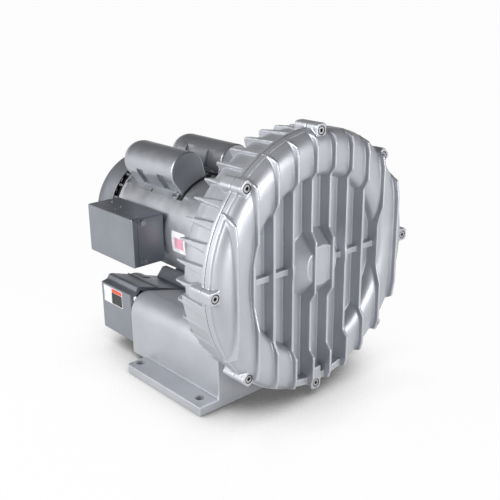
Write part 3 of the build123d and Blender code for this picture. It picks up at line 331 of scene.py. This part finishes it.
def silver_paint(name, colour, roughness, grain, dimples, metallic=0.85, painted_shading=1.0):
    """Silver paint: its colour drifts, hollows are darkened by painted shade and edges paled by a painted
    highlight, with fine grain on orange peel.
    """
    made = material(name, colour, metallic, roughness)
    tree = made.node_tree
    shader = tree.nodes["Principled BSDF"]
    drift = noise(tree, scale=14.0, detail=5.0)
    base = ramp(tree, drift, scaled(colour, 0.93), scaled(colour, 1.05), start=0.35, end=0.68)
    # Painted shade darkens hollows and a painted highlight pales edges, by how pointed the surface is.
    shape = tree.nodes.new("ShaderNodeNewGeometry")
    edges = ramp(tree, shape.outputs["Pointiness"], HOLLOW_SHADE_TONE, EDGE_HIGHLIGHT_TONE, start=0.47, end=0.53)
    mixed = tree.nodes.new("ShaderNodeMix")
    mixed.data_type = "RGBA"
    mixed.blend_type = "MULTIPLY"
    mixed.inputs["Factor"].default_value = SHADE_AND_HIGHLIGHT_SHARE * painted_shading
    tree.links.new(base, mixed.inputs["A"])
    tree.links.new(edges, mixed.inputs["B"])
    tree.links.new(mixed.outputs["Result"], shader.inputs["Base Color"])
    rough = tree.nodes.new("ShaderNodeMapRange")
    rough.inputs["From Min"].default_value = 0.3
    rough.inputs["From Max"].default_value = 0.7
    rough.inputs["To Min"].default_value = roughness - 0.05
    rough.inputs["To Max"].default_value = roughness + 0.07
    tree.links.new(noise(tree, scale=38.0, detail=6.0, roughness=0.6), rough.inputs["Value"])
    tree.links.new(rough.outputs["Result"], shader.inputs["Roughness"])
    fine = noise(tree, scale=900.0, detail=3.0)
    grained = add_bump(tree, shader, fine, grain, GRAIN_DEPTH)
    wide = noise(tree, scale=160.0, detail=3.0)
    add_bump(tree, shader, wide, dimples, DIMPLE_DEPTH, grained)
    return made


def plated(name, colour, roughness):
    """Plated or ground steel with fine brush marks."""
    made = material(name, colour, metallic=1.0, roughness=roughness)
    tree = made.node_tree
    shader = tree.nodes["Principled BSDF"]
    add_bump(tree, shader, noise(tree, scale=600.0, detail=2.0), 0.15, GRAIN_DEPTH)
    tone = ramp(tree, noise(tree, scale=120.0, detail=4.0), scaled(colour, 0.85), scaled(colour, 1.08))
    tree.links.new(tone, shader.inputs["Base Color"])
    return made


def moulded(name, colour, roughness, scale=700.0, strength=0.25):
    """Moulded plastic, rubber, foam or film, by its grain."""
    made = material(name, colour, metallic=0.0, roughness=roughness)
    tree = made.node_tree
    shader = tree.nodes["Principled BSDF"]
    add_bump(tree, shader, noise(tree, scale, detail=3.0), strength, MOULD_DEPTH)
    tone = ramp(tree, noise(tree, scale=60.0, detail=3.0), scaled(colour, 0.8), scaled(colour, 1.2))
    tree.links.new(tone, shader.inputs["Base Color"])
    return made


def film(name, colour, roughness):
    """Printed film, almost without grain."""
    return moulded(name, colour, roughness, scale=400.0, strength=0.05)


CAST = silver_paint("cast_silver", (0.50, 0.515, 0.55), 0.42, grain=0.30, dimples=0.16, metallic=0.55)
SHEET = silver_paint("sheet_silver", (0.52, 0.535, 0.57), 0.38, grain=0.18, dimples=0.07, painted_shading=0.8)
BOX_PAINT = silver_paint("box_silver", (0.27, 0.285, 0.32), 0.38, grain=0.2, dimples=0.08, painted_shading=0.8)
CAN_PAINT = silver_paint("can_silver", (0.46, 0.475, 0.51), 0.38, grain=0.16, dimples=0.08, painted_shading=0.8)
COWL_PAINT = silver_paint("cowl_silver", (0.17, 0.178, 0.195), 0.6, grain=0.16, dimples=0.08,
                          metallic=0.4, painted_shading=0.8)
ZINC = plated("zinc", (0.50, 0.50, 0.51), 0.30)
STEEL = plated("ground_steel", (0.62, 0.62, 0.64), 0.3)
LAMINATE = plated("laminations", (0.24, 0.24, 0.26), 0.5)
COPPER = plated("copper", (0.58, 0.26, 0.11), 0.35)
CAGE = plated("cage_metal", (0.78, 0.79, 0.81), 0.4)
RUBBER = moulded("rubber", (0.012, 0.012, 0.014), 0.62)
PLASTIC = moulded("black_plastic", (0.014, 0.014, 0.016), 0.45)
FOAM = moulded("foam", (0.07, 0.07, 0.075), 0.95, scale=300.0, strength=1.0)
# Painted shade: dull near-black for gaps, sockets, slots and the inside of the cowl.
SHADE_PAINT = moulded("painted_shade", (0.01, 0.01, 0.012), 0.9)
WHITE_FILM = film("white_film", (0.82, 0.82, 0.84), 0.3)
BLACK_FILM = film("black_film", (0.012, 0.012, 0.014), 0.28)
ORANGE_FILM = film("orange_film", (0.78, 0.08, 0.02), 0.3)
PINK_FILM = film("pink_film", (0.72, 0.36, 0.46), 0.35)

BY_SLOT = {
    "cast_aluminium": CAST, "painted_sheet": SHEET, "zinc_screws": ZINC, "machined_steel": STEEL,
    "lamination_steel": LAMINATE, "copper_winding": COPPER, "cage_aluminium": CAGE,
    "black_rubber": RUBBER, "black_plastic": PLASTIC, "grey_foam": FOAM,
}
OWN_PAINT = {
    "conduit_box": BOX_PAINT, "conduit_lid": BOX_PAINT, "silencer_extension": BOX_PAINT,
    "extension_gasket": BOX_PAINT, "left_capacitor_cover": CAN_PAINT, "right_capacitor_cover": CAN_PAINT,
    "fan_cowl": COWL_PAINT,
}
SOLID_SHARP = 32.0
SKIN_SHARP = 50.0
HEAD_SHARP = 30.0
INWARD = 0.3
FORWARD = 0.9


def dress_solids():
    """Gives every solid the material of its slot or its own paint."""
    for part in frame["record"]["subparts"]:
        name = part["node"]
        node = NODES[name]
        node.data.materials.clear()
        node.data.materials.append(OWN_PAINT.get(name, BY_SLOT[part["material_slot"]]))
        smooth(node, SOLID_SHARP)


def painted_shade_inside(node):
    """Painted shade inside the cowl: faces that look at the shaft line or forwards from its back are made
    dull and dark.
    """
    node.data.materials.append(SHADE_PAINT)
    for face in node.data.polygons:
        normal = face.normal
        x, z = face.center.x, face.center.z - SHAFT_Z * MM
        inward = normal.x * x + normal.z * z < -INWARD * math.hypot(x, z)
        if inward or normal.y < -FORWARD:
            face.material_index = 1


dress_solids()
painted_shade_inside(NODES["fan_cowl"])


# Cover. Heights here are distances in front of the joint between cover and housing.

CHANNEL_R = 151.0
FLANGE_R = 187.0
WEB = 5.0
RIM_T = 9.5
RIM_IN_R = 178.0
FIN_HIGH = 31.0
FIN_LOW = 22.5
FIN_PITCH = 34.8
FIN_COUNT = 10
FIN_ROOT_HALF_W = 3.2
FIN_EDGE_HALF_W = 3.0
FIN_DRAFT = 1.1
FIN_STEPS = [(0, FIN_HIGH), (41, FIN_HIGH), (54, FIN_LOW), (125, FIN_LOW), (136, FIN_HIGH), (169, FIN_HIGH),
             (181, 27), (186, 9), (FLANGE_R, 8)]
CROSS_HIGH = 13.5
CROSS_HALF_W = 4.6
STRIPPER_HALF = 1.5 * FIN_PITCH
BULGE_HIGH = 24.5
BULGE_OUT = 35.0
BULGE_IN = 29.0
BULGE_SQUARENESS = 0.74
LOW_RING_IN_R = 170.5
LOW_RING_OUT_R = 181.5
LOW_RING_TOP_Z = -100.0
HUB_FLAT_R = 28.5
HUB_ROOT_R = 50.0
HUB_HIGH = 25.5
BOLT_CIRCLE_R = 185.0
LUG_R = 9.5
LUG_ROOT_R = 160.0
LUG_TIP_R = BOLT_CIRCLE_R + LUG_R - 0.08
LUG_CORNER_R = 5.0
LUG_HIGH = 19.0
LUG_ANGLES = range(0, 360, 45)
SEAT_R = 6.5
SEAT_HIGH = 11.0
SOCKET_R = 2.45
SOCKET_HIGH = 16.2
COVER_VOXEL = 1.0
FAR = 400.0


def cover_height(r):
    """How far the cover's fins stand in front of the joint at a distance from the shaft."""
    for (r0, h0), (r1, h1) in zip(FIN_STEPS, FIN_STEPS[1:]):
        if r <= r1:
            return h0 + (h1 - h0) * (r - r0) / (r1 - r0)
    return FIN_STEPS[-1][1]


def cover_fin(x):
    """One upright fin with draft, its edge on the stepped height."""
    reach = math.sqrt((FLANGE_R - 0.4) ** 2 - x ** 2)
    root = FIN_ROOT_HALF_W
    steps = 160
    rings = []
    for i in range(steps + 1):
        z = -reach + 2 * reach * i / steps
        h = cover_height(math.hypot(x, z))
        edge = FIN_EDGE_HALF_W - FIN_DRAFT * h / FIN_HIGH
        rings.append([(x - root, -1, z), (x - edge, -h, z), (x + edge, -h, z), (x + root, -1, z)])
    return rings_mesh("fin", rings)


def lug(length):
    """Square boss of one bolt at +X, reaching in to the ring."""
    start, end = sorted((0, length))
    outline = rounded([(LUG_ROOT_R, -LUG_R), (LUG_TIP_R, -LUG_R, LUG_CORNER_R),
                       (LUG_TIP_R, LUG_R, LUG_CORNER_R), (LUG_ROOT_R, LUG_R)], 6)
    return prism_y("lug", outline, start, end)


def low_ring(inner, outer, start, end):
    """Stretch of a ring that spans the closed part of the channel at the bottom."""
    ring = lathe("low_ring", [(inner, start), (outer, start), (outer, end), (inner, end)])
    cut(ring, block("keep_low", -FAR, FAR, -FAR, FAR, LOW_RING_TOP_Z, FAR))
    cut(ring, block("keep_left", -FAR, -STRIPPER_HALF, -FAR, FAR, -FAR, FAR))
    return cut(ring, block("keep_right", STRIPPER_HALF, FAR, -FAR, FAR, -FAR, FAR))


def bulge_profile():
    """Squarish oval over the ring channel, wider outside the channel's middle than inside."""
    points = []
    for x, y in arc((0, 0), 1, 0, -180, 40):
        half = BULGE_OUT if x > 0 else BULGE_IN
        out = math.copysign(half * abs(x) ** BULGE_SQUARENESS, x)
        points.append((CHANNEL_R + out, -BULGE_HIGH * abs(y) ** BULGE_SQUARENESS))
    return points + [(CHANNEL_R - BULGE_IN, 3), (CHANNEL_R + BULGE_OUT, 3)]


def build_cover():
    plate = lathe("plate", [(0, 0), (FLANGE_R, 0), (FLANGE_R, -RIM_T), (RIM_IN_R, -RIM_T), (RIM_IN_R, -WEB),
                            (HUB_ROOT_R, -WEB), (HUB_FLAT_R, -HUB_HIGH), (0, -HUB_HIGH)])
    bulge = lathe("bulge", bulge_profile())
    cut(bulge, block("stripper", -STRIPPER_HALF, STRIPPER_HALF, -FAR, FAR, -FAR, 0))
    parts = [plate, bulge, low_ring(LOW_RING_IN_R, LOW_RING_OUT_R, -LUG_HIGH, 0)]
    parts += [cover_fin(FIN_PITCH * (n - (FIN_COUNT - 1) / 2)) for n in range(FIN_COUNT)]
    reach = FIN_PITCH * 3.5
    parts.append(block("cross", -reach, reach, -CROSS_HIGH, 0, -CROSS_HALF_W, CROSS_HALF_W))
    parts += around(lug(-LUG_HIGH), LUG_ANGLES)
    obj = cast("cover_skin", parts, COVER_VOXEL)
    seat = prism_y("seat", circle((BOLT_CIRCLE_R, 0), SEAT_R, 40), -LUG_HIGH - 5, -SEAT_HIGH)
    cut(obj, join("seats", around(seat, LUG_ANGLES)))
    cut(obj, block("trim", -FAR, FAR, 0, FAR, -FAR, FAR))
    smooth(obj, SKIN_SHARP)
    return stand_for(obj, CAST, "blower_body", "cover")


# Housing with its silencer base. The base and the foot are given by heights above the floor.

BASE_HALF_W = 127.6
BASE_LOW = 10.0
BASE_SHOULDER_Z = 117.0
BASE_SHOULDER_R = 30.0
BASE_VALLEY_Z = 87.0
BASE_VALLEY_HALF_W = 16.0
BASE_SPINE_Z = 101.0
BASE_SPINE_HALF_W = 4.0
BASE_FRONT = -95.0 - JOINT_Y
BASE_REAR = 119.3 - JOINT_Y
FOOT_HALF_W = 162.7
FOOT_REAR = 85.3 - JOINT_Y
FOOT_T = 14.0
FOOT_CORNER_R = 5.0
FOOT_HOLE_R = 7.0
FOOT_HOLE_X = 145.0
FOOT_HOLE_Y = 73.0
FLANGE_BACK = 7.0
FLANGE_LIP_R = 181.0
RING_R = 146.0
RING_HALF_W = 33.0
RING_MIDDLE = 34.0
RING_DEPTH = 41.0
DISC_R = 118.0
DISC_BACK = 60.0
RIB_COUNT = 40
RIB_START = 4.0
RIB_BACK = 72.0
RIB_ROOT_R = 155.0
RIB_BACK_R = 180.5
RIB_CORNER_R = 8.0
RIB_HALF_W = 6.8
RIB_DRAFT_BACK = 0.068
RIB_DRAFT_OUT = 0.9 / 30
FLANK_IN_R = 150.0
FLANK_BACK = 58.0
HOUSING_LUG = 22.0
BRACE_START = 20.0
BRACE_END = 48.0
BRACE_GAP_END = 36.5
BRACE_WALL = 4.0
BRACE_IN_R = 160.0
BRACE_OUT_R = 183.0
HOUSING_VOXEL = 1.3


def ring_rib():
    """One radial rib at +X, from the flange back over the ring, with draft to its edge."""
    side = rounded([(RIB_ROOT_R, RIB_START), (FLANGE_R - 0.6, RIB_START),
                    (RIB_BACK_R, RIB_BACK, RIB_CORNER_R), (RIB_ROOT_R, RIB_BACK)])
    rings = []
    for way in (-1, 1):
        rings.append([(r, s, way * (RIB_HALF_W - RIB_DRAFT_BACK * s - RIB_DRAFT_OUT * (r - RIB_ROOT_R)))
                      for r, s in side])
    return rings_mesh("rib", rings)


def lug_brace():
    """Two short walls from the corners of a lug to the rib behind it."""
    gap_half = LUG_R - BRACE_WALL
    outer = [(BRACE_START, LUG_R), (BRACE_END, 0), (BRACE_START, -LUG_R)]
    inner = [(BRACE_START, gap_half), (BRACE_GAP_END, 0), (BRACE_START, -gap_half)]
    wall = prism_x("brace", outer, BRACE_IN_R, BRACE_OUT_R)
    return cut(wall, prism_x("brace_gap", inner, BRACE_IN_R - 5, BRACE_OUT_R + 7))


def sector(name, angles):
    """Wide wedge from the shaft line, its far corners at angles in degrees."""
    corners = [(FAR * math.cos(math.radians(a)), FAR * math.sin(math.radians(a))) for a in angles]
    return prism_y(name, [(0, 0)] + corners, -FAR, FAR)


def flank():
    """Smooth stretch of the ring's left side above the base, from 186 to 224 degrees."""
    skin = lathe("flank", [(FLANK_IN_R, RIB_START), (FLANGE_R - 1, RIB_START), (RIB_BACK_R, FLANK_BACK),
                           (FLANK_IN_R, FLANK_BACK)])
    cut(skin, sector("flank_above", (186, 100, 20, -60)))
    return cut(skin, sector("flank_below", (-62, -100, -136)))


def base_outline():
    """Section of the base: rounded shoulders, and a spine in the valley between them."""
    right = [(BASE_HALF_W, BASE_LOW), (BASE_HALF_W, BASE_SHOULDER_Z, BASE_SHOULDER_R),
             (BASE_VALLEY_HALF_W, BASE_VALLEY_Z), (BASE_SPINE_HALF_W, BASE_SPINE_Z)]
    right = [(x, z - SHAFT_Z, *radius) for x, z, *radius in right]
    left = [(-x, *rest) for x, *rest in reversed(right)]
    return rounded(right + left, 16)


def foot():
    plate = rounded([(FOOT_HALF_W, BASE_FRONT), (FOOT_HALF_W, FOOT_REAR, FOOT_CORNER_R),
                     (-FOOT_HALF_W, FOOT_REAR, FOOT_CORNER_R), (-FOOT_HALF_W, BASE_FRONT)])
    return prism_z("foot", plate, -SHAFT_Z, FOOT_T - SHAFT_Z)


def foot_holes():
    places = [(x, y - JOINT_Y) for x in (-FOOT_HOLE_X, FOOT_HOLE_X) for y in (-FOOT_HOLE_Y, FOOT_HOLE_Y)]
    low, high = -3 - SHAFT_Z, FOOT_T + 6 - SHAFT_Z
    holes = [prism_z("hole", circle(place, FOOT_HOLE_R, 40), low, high) for place in places]
    return join("foot_holes", holes)


def build_housing():
    flange = [(0, 0), (FLANGE_R, 0), (FLANGE_R, FLANGE_BACK), (FLANGE_LIP_R, FLANGE_BACK)]
    back = [(RING_R + RING_HALF_W * x, RING_MIDDLE + RING_DEPTH * y) for x, y in arc((0, 0), 1, 0, 140, 40)]
    parts = [lathe("ring", flange + back + [(DISC_R, DISC_BACK), (0, DISC_BACK)])]
    parts += around(lug(HOUSING_LUG), LUG_ANGLES) + around(lug_brace(), LUG_ANGLES)
    parts += around(ring_rib(), [360 * n / RIB_COUNT for n in range(RIB_COUNT)])
    side = flank()
    parts += [side, mirrored(side)]
    parts += [prism_y("base", base_outline(), BASE_FRONT, BASE_REAR), foot()]
    obj = cast("housing_skin", parts, HOUSING_VOXEL)
    cut(obj, foot_holes())
    cut(obj, block("trim", -FAR, FAR, -FAR, 0, -FAR, FAR))
    smooth(obj, SKIN_SHARP)
    return stand_for(obj, CAST, "blower_body", "housing")


# Dark gaps, drawn as painted shade

def socket_shades():
    """Painted shade: dark floors in the sockets of the cover bolts."""
    ring = circle((BOLT_CIRCLE_R, 0), SOCKET_R, 24)
    disc = prism_y("socket_shade", ring, -SOCKET_HIGH - 0.2, -SOCKET_HIGH)
    return stand_for(join("socket_shades", around(disc, LUG_ANGLES)), SHADE_PAINT, "blower_body")


def slot_shade():
    """Painted shade: dark band inside the ring of slots between motor and cowl."""
    inner, outer, start, end = 76, 77.5, 359.5, 378
    band = lathe("slot_shade", [(inner, start), (outer, start), (outer, end), (inner, end)], 120)
    return stand_for(band, SHADE_PAINT, "blower_body")


def parting_line():
    """Thin dark ring of painted shade in the gap between the flanges of cover and housing."""
    inner, outer, half = FLANGE_R - 2, FLANGE_R - 0.15, 0.45
    ring = lathe("parting_line", [(inner, -half), (outer, -half), (outer, half), (inner, half)])
    return stand_for(ring, SHADE_PAINT, "blower_body")


# Labels, bare colour blocks only

FLAT_LABEL_X = -126.6
FLAT_LABEL_T = 0.25
FLAT_LABEL_CORNER_R = 0.8
FLAT_LABEL_LOW = 76 - SHAFT_Z
FLAT_LABEL_HIGH = 104 - SHAFT_Z
SHELL_LABEL_R = 82.8
SHELL_LABEL_T = 0.3


def flat_label(name, x, s0, s1, z0, z1, paint):
    """Thin plate on a face that looks along -X."""
    corners = [(s0, z0), (s1, z0), (s1, z1), (s0, z1)]
    outline = rounded([(s, z, FLAT_LABEL_CORNER_R) for s, z in corners], 4)
    return stand_for(prism_x(name, outline, x - FLAT_LABEL_T, x), paint, "blower_body")


def shell_label(name, s0, s1, start, end, radius, paint):
    """Thin plate bent round the motor shell, between two angles in degrees."""
    outer = arc((0, 0), radius, start, end, 12)
    inner = arc((0, 0), radius - SHELL_LABEL_T, end, start, 12)
    return stand_for(prism_y(name, outer + inner, s0, s1), paint, "blower_body")


def labels():
    """A white field with two blocks on the extension, and one with a block on the motor shell."""
    side, low, high = FLAT_LABEL_X, FLAT_LABEL_LOW, FLAT_LABEL_HIGH
    flat_label("label_field", side, 288, 341, low, high, WHITE_FILM)
    flat_label("label_block", side - 0.1, 289, 318, low + 1, high - 7.5, BLACK_FILM)
    flat_label("label_strip", side - 0.1, 289, 318, high - 7, high - 1, ORANGE_FILM)
    shell_label("shell_field", 176, 208, 171, 194, SHELL_LABEL_R, WHITE_FILM)
    shell_label("shell_block", 180, 201, 177.5, 189.5, SHELL_LABEL_R + 0.15, PINK_FILM)


# Conduit box trim

BOX_START = 226.0
BOX_END = 349.0
BOX_LOW = -40.0
BOX_HIGH = 37.0
BOX_BEND_R = 3.0
SEAM_X = (-131.3, -130.8)
SEAM_DEPTH = 1.5
SEAM_PROUD = 0.05
BOX_HEAD_R = 2.6
BOX_HEAD_TOP_R = 1.9
BOX_HEAD_PLACES = ((-105, 331), (-111, 298), (-124.5, 291), (-124.5, 236))


def box_outline(inset):
    """Outline of the conduit box seen from its side."""
    start, end = BOX_START + inset, BOX_END - inset
    low, high = BOX_LOW + inset, BOX_HIGH - inset
    bend = max(BOX_BEND_R - inset, 0.5)
    return rounded([(start, low, bend), (end, low, bend), (end, high, bend), (start, high, bend)], 4)


def box_seam():
    """Thin dark band of painted shade in the seam between conduit box and lid."""
    seam = prism_x("box_seam", box_outline(-SEAM_PROUD), *SEAM_X)
    cut(seam, prism_x("seam_inside", box_outline(SEAM_DEPTH), -140, -120))
    return stand_for(seam, SHADE_PAINT, "blower_body")


def box_heads():
    """Small heads on top of the conduit box, with bevelled rims."""
    for number, place in enumerate(BOX_HEAD_PLACES):
        wide, narrow = circle(place, BOX_HEAD_R, 24), circle(place, BOX_HEAD_TOP_R, 24)
        levels = ((wide, BOX_HIGH - 0.2), (wide, BOX_HIGH + 0.5), (narrow, BOX_HIGH + 0.9))
        head = rings_mesh(f"box_head_{number}", [[(x, s, z) for x, s in ring] for ring, z in levels])
        smooth(head, HEAD_SHARP)
        stand_for(head, ZINC, "blower_body")


build_cover()
build_housing()
parting_line()
socket_shades()
slot_shade()
labels()
box_seam()
box_heads()


# Floor, light and camera

FLOOR_HALF = 60.0
FLOOR_DROP = 0.0005
FLOOR_COLOUR = (0.8, 0.8, 0.8)
SHADE_REACH = 0.22
GLOW_SHARE = 0.97


def pale_floor():
    """Plain floor: white to the camera and in reflections, with painted shadow darkening it close to what
    stands on it.
    """
    made = bpy.data.materials.new("pale_floor")
    made.use_nodes = True
    tree = made.node_tree
    tree.nodes.clear()
    shown = tree.nodes.new("ShaderNodeOutputMaterial")
    seen = tree.nodes.new("ShaderNodeLightPath")
    plain = tree.nodes.new("ShaderNodeBsdfDiffuse")
    plain.inputs["Color"].default_value = (*FLOOR_COLOUR, 1.0)
    # Painted shadow: ambient occlusion dims the floor's glow close to what stands on it.
    painted_shadow = tree.nodes.new("ShaderNodeAmbientOcclusion")
    painted_shadow.inputs["Distance"].default_value = SHADE_REACH
    painted_shadow.samples = 8
    painted_shadow_strength = tree.nodes.new("ShaderNodeMapRange")
    painted_shadow_strength.inputs["From Min"].default_value = 0.25
    painted_shadow_strength.inputs["From Max"].default_value = 0.7
    painted_shadow_strength.inputs["To Min"].default_value = 0.12
    painted_shadow_strength.inputs["To Max"].default_value = 1.0
    glow = tree.nodes.new("ShaderNodeEmission")
    share = tree.nodes.new("ShaderNodeMath")
    share.operation = "MULTIPLY"
    share.inputs[1].default_value = GLOW_SHARE
    either = tree.nodes.new("ShaderNodeMath")
    either.operation = "MAXIMUM"
    mix = tree.nodes.new("ShaderNodeMixShader")
    tree.links.new(painted_shadow.outputs["AO"], painted_shadow_strength.inputs["Value"])
    tree.links.new(painted_shadow_strength.outputs["Result"], glow.inputs["Strength"])
    tree.links.new(seen.outputs["Is Camera Ray"], either.inputs[0])
    tree.links.new(seen.outputs["Is Glossy Ray"], either.inputs[1])
    tree.links.new(either.outputs["Value"], share.inputs[0])
    tree.links.new(share.outputs["Value"], mix.inputs["Fac"])
    tree.links.new(plain.outputs["BSDF"], mix.inputs[1])
    tree.links.new(glow.outputs["Emission"], mix.inputs[2])
    tree.links.new(mix.outputs["Shader"], shown.inputs["Surface"])
    return made


def floor():
    mesh = bpy.data.meshes.new("floor")
    half = FLOOR_HALF
    corners = [(-half, -half, 0), (half, -half, 0), (half, half, 0), (-half, half, 0)]
    mesh.from_pydata(corners, [], [(0, 1, 2, 3)])
    obj = bpy.data.objects.new("floor", mesh)
    scene.collection.objects.link(obj)
    obj.location.z = -FLOOR_DROP
    mesh.materials.append(pale_floor())


def world(level, ceiling):
    """White to the camera; reflections see white low down and a darker ceiling; soft fill for the rest."""
    made = bpy.data.worlds.new("studio")
    made.use_nodes = True
    scene.world = made
    tree = made.node_tree
    back = tree.nodes["Background"]
    seen = tree.nodes.new("ShaderNodeLightPath")
    place = tree.nodes.new("ShaderNodeTexCoord")
    split = tree.nodes.new("ShaderNodeSeparateXYZ")
    tree.links.new(place.outputs["Generated"], split.inputs["Vector"])
    room = tree.nodes.new("ShaderNodeMapRange")
    room.interpolation_type = "SMOOTHSTEP"
    room.inputs["From Min"].default_value = 0.0
    room.inputs["From Max"].default_value = 0.4
    room.inputs["To Min"].default_value = 1.0
    room.inputs["To Max"].default_value = ceiling
    tree.links.new(split.outputs["Z"], room.inputs["Value"])
    mirrored_room = tree.nodes.new("ShaderNodeMix")
    mirrored_room.inputs["A"].default_value = level
    either = tree.nodes.new("ShaderNodeMath")
    either.operation = "MAXIMUM"
    tree.links.new(seen.outputs["Is Glossy Ray"], either.inputs[0])
    tree.links.new(seen.outputs["Is Transmission Ray"], either.inputs[1])
    tree.links.new(either.outputs["Value"], mirrored_room.inputs["Factor"])
    tree.links.new(room.outputs["Result"], mirrored_room.inputs["B"])
    whole = tree.nodes.new("ShaderNodeMath")
    whole.operation = "MAXIMUM"
    tree.links.new(mirrored_room.outputs["Result"], whole.inputs[0])
    tree.links.new(seen.outputs["Is Camera Ray"], whole.inputs[1])
    back.inputs["Color"].default_value = (1.0, 1.0, 1.0, 1.0)
    tree.links.new(whole.outputs["Value"], back.inputs["Strength"])


def lamp(name, place, aim, width, height, power):
    """White rectangular lamp, turned towards a point."""
    data = bpy.data.lights.new(name, "AREA")
    data.shape = "RECTANGLE"
    data.size = width
    data.size_y = height
    data.energy = power
    obj = bpy.data.objects.new(name, data)
    scene.collection.objects.link(obj)
    obj.location = place
    obj.rotation_mode = "QUATERNION"
    obj.rotation_quaternion = (Vector(aim) - Vector(place)).to_track_quat("-Z", "Y")


CAMERA_AZIMUTH = -41.87
CAMERA_ELEVATION = 19.51
CAMERA_ROLL = -0.48
CAMERA_LENS = 57.30
HUB_FACE = (0, -0.1647, 0.205)
CAMERA_LEFT = 0.0959
CAMERA_UP = 0.020
CAMERA_AWAY = 1.0957


def camera():
    """Camera at the photograph's angle, placed from the middle of the hub's face."""
    azimuth, elevation, roll = (math.radians(a) for a in (CAMERA_AZIMUTH, CAMERA_ELEVATION, CAMERA_ROLL))
    right = Vector((math.cos(azimuth), math.sin(azimuth), 0))
    back = Vector((math.sin(azimuth) * math.cos(elevation), -math.cos(azimuth) * math.cos(elevation),
                   math.sin(elevation)))
    up = back.cross(right)
    side = right * math.cos(roll) + up * math.sin(roll)
    top = up * math.cos(roll) - right * math.sin(roll)
    place = Vector(HUB_FACE) - right * CAMERA_LEFT + up * CAMERA_UP + back * CAMERA_AWAY
    data = bpy.data.cameras.new("camera")
    data.lens = CAMERA_LENS
    data.sensor_width = 36.0
    obj = bpy.data.objects.new("camera", data)
    scene.collection.objects.link(obj)
    obj.matrix_world = Matrix((
        (side.x, top.x, back.x, place.x),
        (side.y, top.y, back.y, place.y),
        (side.z, top.z, back.z, place.z),
        (0, 0, 0, 1),
    ))
    scene.camera = obj


floor()
world(level=0.22, ceiling=0.12)
lamp("left", (-1.4, 0.3, 0.9), aim=(0, 0.05, 0.35), width=0.9, height=0.9, power=25)
lamp("front", (0.35, -2.3, 0.5), aim=(0, 0, 0.2), width=1.4, height=0.7, power=30)
camera()
scene.view_settings.view_transform = "Standard"
